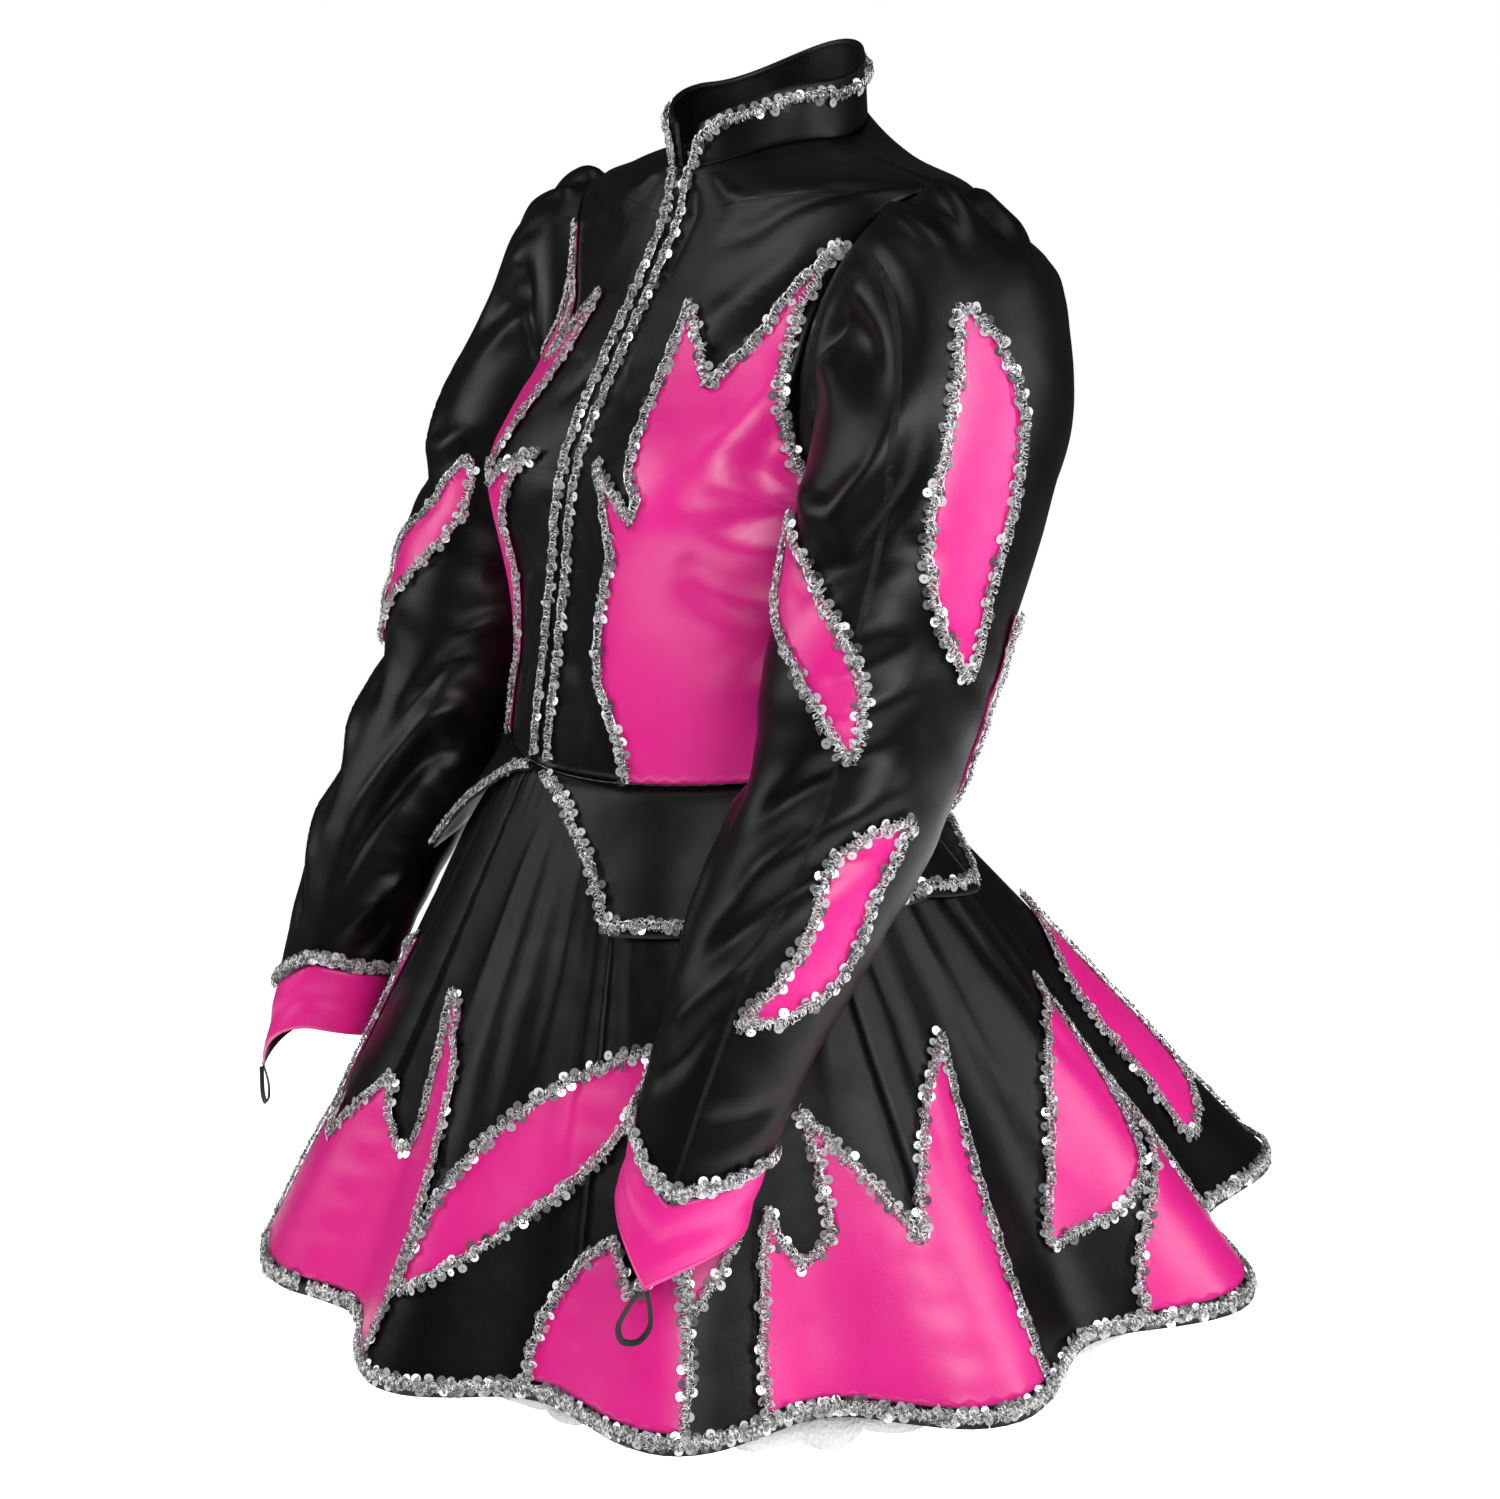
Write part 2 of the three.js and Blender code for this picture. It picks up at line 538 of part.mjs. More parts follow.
// The share of the fold depth at an angle: 1 on a crest, -1 midway between two.
function fold(angle) {
  const turned = ((angle + 16 + 720) % 360) - 16;
  const next = FOLDS.findIndex(({ crest }) => crest > turned);
  const [a, b] = [FOLDS[next - 1], FOLDS[next]];
  const t = (turned - a.crest) / (b.crest - a.crest);
  return lerp(a.depth, b.depth, t) * Math.cos(2 * Math.PI * t);
}

function waistRing(angle) {
  const { half, front, back, square, centre } = BODICE_SECTIONS[0];
  const radius = sectionPoint(angle, half, cosOf(angle) > 0 ? front : back, square);
  return { radius, centre, z: bodice(angle, 0).z - SKIRT.waistDrop };
}

function skirt(angle, rise, folds = 1, out = 0) {
  const waist = waistRing(angle);
  const drop = 1 - rise;
  const hem = lerp(SKIRT.hemFront, SKIRT.hemBack, ((1 - cosOf(angle)) / 2) ** 1.5);
  const radius = lerp(waist.radius, hem, drop) + folds * fold(angle) * Math.max(0, drop) ** SKIRT.ease + out;
  const z = lerp(waist.z, lerp(SKIRT.zFront, SKIRT.zBack, (1 - cosOf(angle)) / 2), drop);
  return new THREE.Vector3(radius * sinOf(angle), lerp(waist.centre, SKIRT.hemMiddle, drop) - radius * cosOf(angle), z);
}

const skirtRises = [0, 0.12, 0.27, 0.46, 0.7, 1];
const GORE_ANGLE = 360 / GORES;
const SEAM_HALF = 0.05;
const skirtColumns = Array.from({ length: GORES }, (_, k) => {
  const start = FIRST_SEAM + k * GORE_ANGLE;
  return steps(start + SEAM_HALF, start + GORE_ANGLE - SEAM_HALF, GORE_COLUMNS);
});
const wrapped = [...skirtColumns.flat(), ...skirtColumns[0].map((u) => u + 360), ...skirtColumns[1].map((u) => u + 360)];
const skirtNet = net(skirt, wrapped, skirtRises);
skirtColumns.forEach((columns, k) => {
  const lines = columns.map((u) => skirtRises.map((v) => [u, v]));
  add(`skirt_gore_${k + 1}`, cloth(skirtNet, lines, -CLOTH, 0), BLACK_SATIN);
});

// Flames on the skirt rise from the hem. Across is a share of the flame's width at the hem.
const FLAME_SHAPES = {
  tall: [
    { across: 0, low: 0.045, high: 0.06 },
    { across: 0.06, low: 0.045, high: 0.2 },
    { across: 0.15, low: 0.045, high: 0.31 },
    { across: 0.21, low: 0.045, high: 0.23 },
    { across: 0.27, low: 0.045, high: 0.36 },
    { across: 0.34, low: 0.045, high: 0.48 },
    { across: 0.42, low: 0.045, high: 0.43 },
    { across: 0.56, low: 0.045, high: 0.34 },
    { across: 0.7, low: 0.045, high: 0.28 },
    { across: 0.83, low: 0.045, high: 0.37 },
    { across: 0.97, low: 0.045, high: 0.45 },
    { across: 1.03, low: 0.28, high: 0.49 },
    { across: 1.15, low: 0.52, high: 0.55 },
  ],
  low: [
    { across: 0, low: 0.045, high: 0.06 },
    { across: 0.3, low: 0.045, high: 0.14 },
    { across: 0.48, low: 0.045, high: 0.24 },
    { across: 0.56, low: 0.045, high: 0.19 },
    { across: 0.72, low: 0.045, high: 0.3 },
    { across: 0.84, low: 0.045, high: 0.37 },
    { across: 0.92, low: 0.045, high: 0.25 },
    { across: 1, low: 0.045, high: 0.08 },
  ],
};
const SKIRT_FLAMES = [
  { start: 333, width: 33, shape: "tall" },
  { start: 31, width: 21, shape: "low" },
  { start: 60, width: 32, shape: "tall" },
  { start: 108, width: 27, shape: "low" },
  { start: 155, width: 32, shape: "tall" },
  { start: 212, width: 22, shape: "low" },
  { start: 241, width: 32, shape: "tall" },
  { start: 289, width: 27, shape: "low" },
];
SKIRT_FLAMES.forEach(({ start, width, shape }, k) => {
  const rows = FLAME_SHAPES[shape].map((row) => ({ ...row, across: start + width * row.across }));
  add(`flame_skirt_${k + 1}`, motif(skirtNet, rows), PINK_SATIN);
});

// Leaves stand between the flames: the angle and rise of each leaf's lower and upper tip.
const SKIRT_LEAVES = [
  { angle: 13, from: 0.14, angleEnd: 48, to: 0.59, belly: 7 },
  { angle: 52, from: 0.2, angleEnd: 60, to: 0.6, belly: 4 },
  { angle: 101, from: 0.17, angleEnd: 126, to: 0.55, belly: 6 },
  { angle: 141, from: 0.13, angleEnd: 153, to: 0.6, belly: 5 },
  { angle: 194, from: 0.14, angleEnd: 229, to: 0.59, belly: 7 },
  { angle: 233, from: 0.2, angleEnd: 241, to: 0.6, belly: 4 },
  { angle: 282, from: 0.17, angleEnd: 307, to: 0.55, belly: 6 },
  { angle: 319, from: 0.13, angleEnd: 331, to: 0.6, belly: 5 },
];
SKIRT_LEAVES.forEach(({ angle, from, angleEnd, to, belly }, k) => {
  add(`leaf_skirt_${k + 1}`, motif(skirtNet, leaf(skirtNet, angle, from, angleEnd, to, belly)), PINK_SATIN);
});

const hemPath = wrapped.slice(0, GORES * (GORE_COLUMNS + 1)).map((u) => [u, 0.018]);
add("hem_braid", braidAlong(skirtNet, hemPath, 0.7, true), SEQUIN_BRAID);

// The peplum hangs from the waist seam over the skirt: a left and a right side piece, cut away at the front
// with pointed corners, and a back piece. Drop is the share of the skirt's length.
const PEPLUM = { off: 2.2, stand: 26, folds: 0.5, sideEnd: 124, right: { angle: -30, spread: 20, lift: 40 } };
const PEPLUM_EDGE = [
  { angle: 13, drop: 0.016 },
  { angle: 20, drop: 0.04 },
  { angle: 30, drop: 0.13 },
  { angle: 38, drop: 0.24 },
  { angle: 54, drop: 0.235 },
  { angle: 108, drop: 0.235 },
  { angle: 124, drop: 0.275 },
  { angle: 142, drop: 0.225 },
  { angle: 180, drop: 0.235 },
];

function peplum(angle, drop) {
  const { angle: middle, spread, lift } = PEPLUM.right;
  const turned = ((angle + 180) % 360) - 180;
  const out = PEPLUM.off + drop * (PEPLUM.stand + lift * bump(turned, middle, spread));
  return skirt(angle, 1 - drop, PEPLUM.folds, out);
}

const peplumEdge = (angle) => between(PEPLUM_EDGE, "angle", "drop", Math.min(angle, 360 - angle));
const peplumDrops = [0, 0.07, 0.14, 0.2, 0.3];
const sideAngles = [13, 20, 30, 38, 46, 54, 63, 72, 81, 90, 99, 108, 116, PEPLUM.sideEnd - 0.1];
const backAngles = [...steps(PEPLUM.sideEnd + 0.1, 180, 6), ...steps(180, 360 - PEPLUM.sideEnd - 0.1, 6).slice(1)];
const rightAngles = sideAngles.map((angle) => 360 - angle).reverse();
const peplumNet = net(peplum, [...sideAngles, ...backAngles, ...rightAngles], peplumDrops, -1);
const peplumPieces = { left: sideAngles, back: backAngles, right: rightAngles };
for (const [name, angles] of Object.entries(peplumPieces)) {
  const lines = angles.map((u) => {
    const edge = peplumEdge(u);
    return [0, ...peplumDrops.filter((v) => v > 0 && v < edge - 0.02), edge].map((v) => [u, v]);
  });
  add(`peplum_${name}`, cloth(peplumNet, lines, -CLOTH, 0), BLACK_SATIN);
}
const peplumBraid = peplumNet.us.map((u) => [u, peplumEdge(u) - (u > 38 && u < 322 ? 0.018 : 0.004)]);
add("peplum_braid", braidAlong(peplumNet, peplumBraid, 0.7), SEQUIN_BRAID);

// The petticoat under the skirt ends in a gathered lace frill that shows below the hem.
const PETTICOAT = { in: 1.9, hemIn: 36, frillAt: 0.2, frillEnd: -0.05, ruffles: 32, ruffle: 3.2 };
const petticoatIn = (rise) => -PETTICOAT.in - PETTICOAT.hemIn * (1 - rise) ** 1.2;
const underskirt = (angle, rise) => skirt(angle, rise, 0, petticoatIn(Math.min(rise, 1)));
const underColumns = steps(0, 360, 36);
const underNet = net(underskirt, underColumns, [PETTICOAT.frillAt, 0.6, 1]);
add("petticoat", panel(underNet, -LACE, 0, true), WHITE_LACE);

function frill(angle, share) {
  const rise = lerp(PETTICOAT.frillEnd, PETTICOAT.frillAt - 0.0015, share);
  const wave = PETTICOAT.ruffle * (1 - share) * sinOf(angle * PETTICOAT.ruffles + 90);
  return skirt(angle, rise, 0, petticoatIn(rise) + wave);
}

const frillNet = net(frill, steps(0, 360, 2 * PETTICOAT.ruffles), [0, 1]);
add("lace_frill", panel(frillNet, -LACE, 0, true), WHITE_LACE);

// Sequin braid edges the fronts and the collar.
const BRAID_FROM_EDGE = 7.6;
const braidPlace = (level) => {
  const reach = column(BODICE_SECTIONS, "front", level) * degToRad(SIDE_ANGLE - armholeOpening(level));
  return [BRAID_FROM_EDGE / reach, level];
};
for (const { name } of SIDES) {
  const path = [0.012, ...panelLevels.slice(1, -1), 0.985].map(braidPlace);
  add(`front_braid_${name}`, braidAlong(frontNets[name], path, 0.9), SEQUIN_BRAID);
}
const collarTurn = [[0.02, 0.12], [0.02, 0.45], [0.034, 0.66], [0.07, 0.74]];
const collarRun = collarNet.us.filter((u) => u > 0.08 && u < 0.92).map((u) => [u, 0.74]);
const collarPath = [...collarTurn, ...collarRun, ...collarTurn.map(([u, v]) => [1 - u, v]).reverse()];
add("collar_braid", braidAlong(collarNet, collarPath, 0.9), SEQUIN_BRAID);

// The concealed zip lies behind the front edges. Its slider stays at the neck and the pull tab swings on it.
const ZIP = { half: 7, low: 0.012, high: 0.985, under: -2.3, over: -1.5 };
const zipNet = net((angle, level) => bodice(angle, level), [-ZIP.half, 0, ZIP.half], panelLevels);
const zipLines = zipNet.us.map((u) => [ZIP.low, ...panelLevels.slice(1, -1), ZIP.high].map((v) => [u, v]));
add("zip_tape", cloth(zipNet, zipLines, ZIP.under, ZIP.over), BLACK_TAPE);

const SLIDER = { level: 0.95, off: 0.5, width: 3.4, height: 7, thick: 1.4, cheek: 0.6, pin: 0.5, pinOff: 2 };
const PULL = { width: 1.6, eye: 1.45, hole: 0.85, length: 9, thick: 1 };
const { Manifold } = await (async () => {
  const wasm = await Module();
  wasm.setup();
  return wasm;
})();

// A geometry from a solid of the manifold library.
function fromSolid(solid) {
  const { vertProperties, triVerts, numProp } = solid.getMesh();
  const geometry = new THREE.BufferGeometry();
  const points = Array.from({ length: vertProperties.length / numProp }, (_, k) => k * numProp);
  const places = points.flatMap((k) => Array.from(vertProperties.slice(k, k + 3)));
  geometry.setAttribute("position", new THREE.Float32BufferAttribute(places, 3));
  geometry.setIndex(Array.from(triVerts));
  geometry.computeVertexNormals();
  return geometry;
}

const boxAt = ([x, y, z], [w, d, h]) => Manifold.cube([w, d, h], true).translate([x, y, z]);
const barAlongX = (radius, length, y, z) =>
  Manifold.cylinder(length, radius, radius, 12, true).rotate([0, 90, 0]).translate([0, y, z]);

// The slider and pull are made upright with their back at y = 0, facing -Y, and then laid on the front.
const pinY = -SLIDER.thick - SLIDER.pinOff;
const pinZ = SLIDER.height / 2 - SLIDER.pinOff - 0.4;
const cheekX = SLIDER.width / 2 - SLIDER.cheek / 2;
const cheek = (x) => boxAt([x, -SLIDER.thick - 1.3, pinZ], [SLIDER.cheek, 3.2, 2.6]);
const slider = boxAt([0, -SLIDER.thick / 2, 0], [SLIDER.width, SLIDER.thick, SLIDER.height])
  .add(cheek(cheekX))
  .add(cheek(-cheekX))
  .add(barAlongX(SLIDER.pin, SLIDER.width - 0.2, pinY, pinZ));
const tabZ = pinZ - PULL.length / 2 - 0.6;
const pull = barAlongX(PULL.eye, PULL.width, pinY, pinZ)
  .add(boxAt([0, pinY - 0.2, tabZ], [PULL.width, PULL.thick, PULL.length]))
  .subtract(barAlongX(PULL.hole, PULL.width + 1, pinY, pinZ));

const sliderSpot = bodice(0, SLIDER.level);
const upFront = bodice(0, SLIDER.level + 0.01).sub(bodice(0, SLIDER.level - 0.01)).normalize();
const lean = Math.atan2(upFront.y, upFront.z);
for (const [name, solid] of [["zip_slider", slider], ["zip_pull", pull]]) {
  const geometry = fromSolid(solid).rotateX(-lean);
  const out = new THREE.Vector3(0, -Math.cos(lean), Math.sin(lean)).multiplyScalar(SLIDER.off);
  geometry.translate(sliderSpot.x + out.x, sliderSpot.y + out.y, sliderSpot.z + out.z);
  add(name, geometry, BLACK_METAL);
}

export default dress;
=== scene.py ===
import bpy
import numpy as np
from mathutils import Matrix, Vector
from mathutils.geometry import delaunay_2d_cdt


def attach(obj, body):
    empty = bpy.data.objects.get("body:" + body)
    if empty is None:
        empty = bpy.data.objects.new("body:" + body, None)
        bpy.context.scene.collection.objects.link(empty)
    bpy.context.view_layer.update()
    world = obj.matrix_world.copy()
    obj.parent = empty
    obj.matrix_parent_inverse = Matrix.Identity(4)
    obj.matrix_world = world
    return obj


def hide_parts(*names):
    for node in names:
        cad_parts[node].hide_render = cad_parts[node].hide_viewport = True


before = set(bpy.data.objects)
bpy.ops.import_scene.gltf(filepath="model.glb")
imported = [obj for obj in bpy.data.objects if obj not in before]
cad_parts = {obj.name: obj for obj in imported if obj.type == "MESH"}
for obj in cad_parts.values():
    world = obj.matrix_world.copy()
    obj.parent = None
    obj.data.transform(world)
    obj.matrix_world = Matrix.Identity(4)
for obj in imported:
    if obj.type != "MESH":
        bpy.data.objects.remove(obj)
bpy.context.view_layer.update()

bpy.ops.object.select_all(action="DESELECT")

# The studio: a camera at the height of the collar, in front and to the wearer's left, looking down a little.
# Softboxes stand on both sides of it, behind it and overhead. A low one lights the round pale floor, and the
# surround is white to look at but sheds little light of its own, so that the black cloth keeps its depth.
CAMERA = {"at": (1.1468, -0.8030, 0.0), "turn": (75, 0, 55), "lens": 55.2, "shift": (-0.0107, -0.013)}
SURROUND = {"sheds": 0.04, "shows": 1.0}
FLOOR = {"level": -1.5, "radius": 2.9, "sides": 160}
SOFTBOXES = [
    {"at": (-1.3, -2.1, 0.8), "aim": (0.0, 0.0, -0.3), "size": (0.8, 1.6), "power": 31},
    {"at": (2.0, -0.9, 1.0), "aim": (0.1, 0.0, -0.4), "size": (1.2, 1.0), "power": 44},
    {"at": (2.2, 1.3, 0.6), "aim": (0.1, 0.0, -0.4), "size": (0.7, 1.8), "power": 38},
    {"at": (0.2, -0.5, 2.2), "aim": (0.0, 0.0, -0.2), "size": (1.0, 1.0), "power": 10},
    {"at": (0.0, 0.0, -0.95), "aim": (0.0, 0.0, -1.5), "size": (6.4, 6.4), "power": 220},
]

camera = bpy.data.objects.new("camera", bpy.data.cameras.new("camera"))
camera.location = CAMERA["at"]
camera.rotation_euler = np.radians(CAMERA["turn"])
camera.data.lens = CAMERA["lens"]
camera.data.shift_x, camera.data.shift_y = CAMERA["shift"]
camera.data.clip_start = 0.02
bpy.context.collection.objects.link(camera)
bpy.context.scene.camera = camera

for k, box in enumerate(SOFTBOXES):
    light = bpy.data.lights.new(f"softbox_{k + 1}", "AREA")
    light.shape = "RECTANGLE"
    light.size, light.size_y = box["size"]
    light.energy = box["power"]
    lamp = bpy.data.objects.new(light.name, light)
    lamp.location = box["at"]
    lamp.rotation_euler = (Vector(box["aim"]) - Vector(box["at"])).to_track_quat("-Z", "Y").to_euler()
    bpy.context.collection.objects.link(lamp)

world = bpy.data.worlds.new("studio")
world.use_nodes = True
nodes, links = world.node_tree.nodes, world.node_tree.links
background = nodes["Background"]
background.inputs["Color"].default_value = (1, 1, 1, 1)
seen = nodes.new("ShaderNodeLightPath")
level = nodes.new("ShaderNodeMapRange")
level.inputs["To Min"].default_value = SURROUND["sheds"]
level.inputs["To Max"].default_value = SURROUND["shows"]
links.new(seen.outputs["Is Camera Ray"], level.inputs["Value"])
links.new(level.outputs["Result"], background.inputs["Strength"])
bpy.context.scene.world = world
bpy.context.scene.view_settings.view_transform = "Standard"


class Socket:
    """A number from a shader node, which takes the operators of plain maths."""

    def __init__(self, finish, socket):
        self.finish = finish
        self.socket = socket

    def maths(self, operation, first, second):
        return self.finish.node("ShaderNodeMath", {"operation": operation}, {0: first, 1: second})

    def __add__(self, other):
        return self.maths("ADD", self, other)

    def __sub__(self, other):
        return self.maths("SUBTRACT", self, other)

    def __rsub__(self, other):
        return self.maths("SUBTRACT", other, self)

    def __mul__(self, other):
        return self.maths("MULTIPLY", self, other)

    def __gt__(self, other):
        return self.maths("GREATER_THAN", self, other)


class Finish:
    """A material with one Principled surface, and the record's slot that it fills."""

    def __init__(self, name, colour, roughness, slot=None, **sockets):
        self.slot = slot or name
        self.material = bpy.data.materials.new(name)
        self.material.use_nodes = True
        self.tree = self.material.node_tree
        self.paint({"Base Color": (*colour, 1), "Roughness": roughness, **sockets})

    def paint(self, sockets):
        self.set(self.tree.nodes["Principled BSDF"], sockets)

    def set(self, node, sockets):
        for key, value in sockets.items():
            if isinstance(value, Socket):
                self.tree.links.new(value.socket, node.inputs[key])
            else:
                node.inputs[key].default_value = value

    def node(self, kind, settings, sockets, output=0):
        made = self.tree.nodes.new(kind)
        for key, value in settings.items():
            setattr(made, key, value)
        self.set(made, sockets)
        return Socket(self, made.outputs[output])

    def mix(self, share, first, second):
        tones = {"Factor": share, 6: (*first, 1), 7: (*second, 1)}
        return self.node("ShaderNodeMix", {"data_type": "RGBA"}, tones, 2)

    def place(self, kind="Object"):
        return self.node("ShaderNodeTexCoord", {}, {}, kind)

    def noise(self, place, scale, detail=2.0):
        return self.node("ShaderNodeTexNoise", {}, {"Vector": place, "Scale": scale, "Detail": detail})

    def bump(self, height, distance, normal=None):
        sockets = {"Height": height, "Distance": distance, "Strength": 1.0}
        if normal is not None:
            sockets["Normal"] = normal
        return self.node("ShaderNodeBump", {}, sockets)


def settled():
    """The object that was just made, with its transform applied."""
    bpy.ops.object.transform_apply(location=True, rotation=True, scale=True)
    return bpy.context.active_object


pale = Finish("pale_floor", (0.93, 0.93, 0.93), 0.9)
bpy.ops.mesh.primitive_circle_add(
    vertices=FLOOR["sides"], radius=FLOOR["radius"], fill_type="NGON", location=(0, 0, FLOOR["level"])
)
floor = settled()
floor.name = "floor"
floor.data.materials.append(pale.material)
bpy.ops.object.select_all(action="DESELECT")

# The bodice: two fronts and a back in black polyester satin with a soft sheen, lined, and cut to fit. Soft folds
# drag from the armholes towards the bust, and the seams draw the cloth in a little. Sizes are in millimetres.
MM = 0.001
CLOTH = 1.2
COLUMNS = ("z_front", "z_side", "z_back", "half", "centre", "front", "back", "square")
BODICE_SECTIONS = [
    dict(zip(COLUMNS, row))
    for row in (
        (-372, -366, -360, 121, -56, 106, 92, 2.0),
        (-318, -314, -308, 126, -48, 106, 94, 2.05),
        (-258, -258, -254, 136, -38, 106, 98, 2.2),
        (-196, -205, -200, 146, -28, 105, 106, 2.3),
        (-140, -158, -148, 152, -16, 92, 108, 2.3),
        (-96, -102, -96, 162, -8, 76, 100, 2.2),
        (-62, -45, -50, 170, -2, 64, 84, 2.1),
        (-42, -26, -16, 112, 0, 61, 68, 2.0),
        (-30, -14, 6, 60, 0, 58, 60, 2.0),
    )
]
BUST = {"angle": 40, "spread": 24, "level": 0.36, "reach": 0.13, "out": 22}
ARMHOLE = {"middle": 0.57, "reach": 0.205, "opening": 23, "taper": 0.25}
SEAM_ANGLE = 0.15
SIDES = [
    {"name": "left", "sign": 1, "tuck": 0, "drop": 0, "forward": 0},
    {"name": "right", "sign": -1, "tuck": 20, "drop": 38, "forward": 8},
]


def sin_of(degrees):
    return np.sin(np.radians(degrees))


def cos_of(degrees):
    return np.cos(np.radians(degrees))


def smooth(x):
    x = np.clip(x, 0, 1)
    return x * x * (3 - 2 * x)


def bump(x, middle, width):
    return np.exp(-(((x - middle) / width) ** 2))


def lerp(a, b, share):
    return a + (b - a) * share


def unit(vectors):
    return vectors / (np.linalg.norm(vectors, axis=-1, keepdims=True) + 1e-12)


def through(value, count, along):
    """A smooth curve through evenly spaced values, where value gives each by its number, at along from 0 to 1."""
    last = count - 1
    x = np.clip(along, 0, 1) * last
    i = np.minimum(np.floor(x).astype(int), last - 1)
    b, c = value(i), value(i + 1)
    f, first, final = (part.reshape(x.shape + (1,) * (b.ndim - x.ndim)) for part in (x - i, i == 0, i == last - 1))
    a = np.where(first, 2 * b - c, value(np.maximum(i - 1, 0)))
    d = np.where(final, 2 * c - b, value(np.minimum(i + 2, last)))
    return b + 0.5 * f * (c - a + f * (2 * a - 5 * b + 4 * c - d + f * (3 * (b - c) + d - a)))


def on_curve(values, along):
    values = np.asarray(values, float)
    return through(lambda k: values[k], len(values), along)


def column(rows, key, along):
    return on_curve([row[key] for row in rows], along)


def points(x, y, z):
    return np.stack(np.broadcast_arrays(x, y, z), axis=-1).astype(float)


def section_radius(angle, half, depth, square):
    x = np.abs(sin_of(angle)) / half
    y = np.abs(cos_of(angle)) / depth
    return 1 / (x**square + y**square) ** (1 / square)


def bodice(angle, level):
    angle, level = np.broadcast_arrays(np.asarray(angle, float), np.asarray(level, float))
    get = {key: column(BODICE_SECTIONS, key, level) for key in COLUMNS}
    front = cos_of(angle) > 0
    radius = section_radius(angle, get["half"], np.where(front, get["front"], get["back"]), get["square"])
    lift = bump(level, BUST["level"], BUST["reach"]) * BUST["out"]
    for side in SIDES:
        radius = radius + lift * bump(angle, side["sign"] * BUST["angle"], BUST["spread"])
    z = get["z_side"] + (np.where(front, get["z_front"], get["z_back"]) - get["z_side"]) * cos_of(angle) ** 2
    return points(radius * sin_of(angle), get["centre"] - radius * cos_of(angle), z)


def armhole_opening(level):
    x = np.clip((level - ARMHOLE["middle"]) / ARMHOLE["reach"], -1, 1)
    return ARMHOLE["opening"] * (1 - ARMHOLE["taper"] * x) * np.sqrt(1 - x * x)


def relief_of(rows, u, v, scale):
    """How far soft folds lift the cloth. Each row is a ridge, or a trough if its height is negative: its width,
    its height and the places that it runs through. It is full near its start and fades out to its end."""
    total = np.zeros(np.broadcast(u, v).shape)
    for width, height, *path in rows:
        spots = np.array(path) * scale
        lengths = np.hypot(*np.diff(spots, axis=0).T)
        before = np.concatenate([[0], np.cumsum(lengths)])
        near = np.full(total.shape, np.inf)
        along = np.zeros(total.shape)
        for (x0, y0), (x1, y1), length, start in zip(spots[:-1], spots[1:], lengths, before):
            x, y = u * scale[0] - x0, v * scale[1] - y0
            t = np.clip((x * (x1 - x0) + y * (y1 - y0)) / length**2, 0, 1)
            gap = np.hypot(x - t * (x1 - x0), y - t * (y1 - y0))
            closer = gap < near
            near = np.where(closer, gap, near)
            along = np.where(closer, (start + t * length) / before[-1], along)
        fade = smooth(0.25 + along * 4) * smooth((1 - along) * 2.2 + 0.06)
        total = total + height * fade * np.exp(-((near / width) ** 2))
    return total


class Surface:
    """Where a piece of cloth lies: its place at u and v, the side that faces out, and its relief of folds."""

    def __init__(self, place, outward, relief, scale):
        self.place = place
        self.outward = outward
        self.relief = relief
        self.scale = scale

    def normal(self, u, v):
        du, dv = 0.5 / self.scale[0], 0.5 / self.scale[1]
        along_u = self.place(u + du, v) - self.place(u - du, v)
        along_v = self.place(u, v + dv) - self.place(u, v - dv)
        return unit(np.cross(along_u, along_v) * self.outward)

    def at(self, u, v, lift=0.0):
        u, v = np.broadcast_arrays(np.asarray(u, float), np.asarray(v, float))
        return self.place(u, v) + self.normal(u, v) * (self.relief(u, v) + lift)[..., None]


def piece(name, places, faces, finish, node=()):
    """A mesh object of the garment from places in millimetres."""
    mesh = bpy.data.meshes.new(name)
    mesh.from_pydata((np.asarray(places) * MM).tolist(), [], faces)
    mesh.materials.append(finish.material)
    mesh.shade_smooth()
    made = bpy.data.objects.new(name, mesh)
    bpy.context.collection.objects.link(made)
    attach(made, "garment")
    if node:
        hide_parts(*node)
    return made


def thicken(made, thickness, facing=None):
    """Gives a sheet its wall, inwards from its outer face, and a facing of another cloth if it has one."""
    wall = made.modifiers.new("wall", "SOLIDIFY")
    wall.thickness = thickness * MM
    wall.offset = -1
    if facing:
        made.data.materials.append(facing.material)
        wall.material_offset = 1
    with bpy.context.temp_override(object=made, active_object=made, selected_objects=[made]):
        bpy.ops.object.modifier_apply(modifier=wall.name)


def grid_faces(rows, across, loop=False):
    """Quads over a grid of places that is stored column by column."""
    faces = []
    for i in range(rows if loop else rows - 1):
        a, b = i * across, ((i + 1) % rows) * across
        faces += [(a + j, b + j, b + j + 1, a + j + 1) for j in range(across - 1)]
    return faces


def lay_pattern(made, u, v):
    """A UV map in metres of cloth, so that a weave keeps its size."""
    layer = made.data.uv_layers.new(name="cloth")
    ids = np.empty(len(made.data.loops), int)
    made.data.loops.foreach_get("vertex_index", ids)
    flat = np.stack([np.ravel(u)[ids], np.ravel(v)[ids]], axis=-1)
    layer.data.foreach_set("uv", (flat * MM).astype(np.float32).ravel())


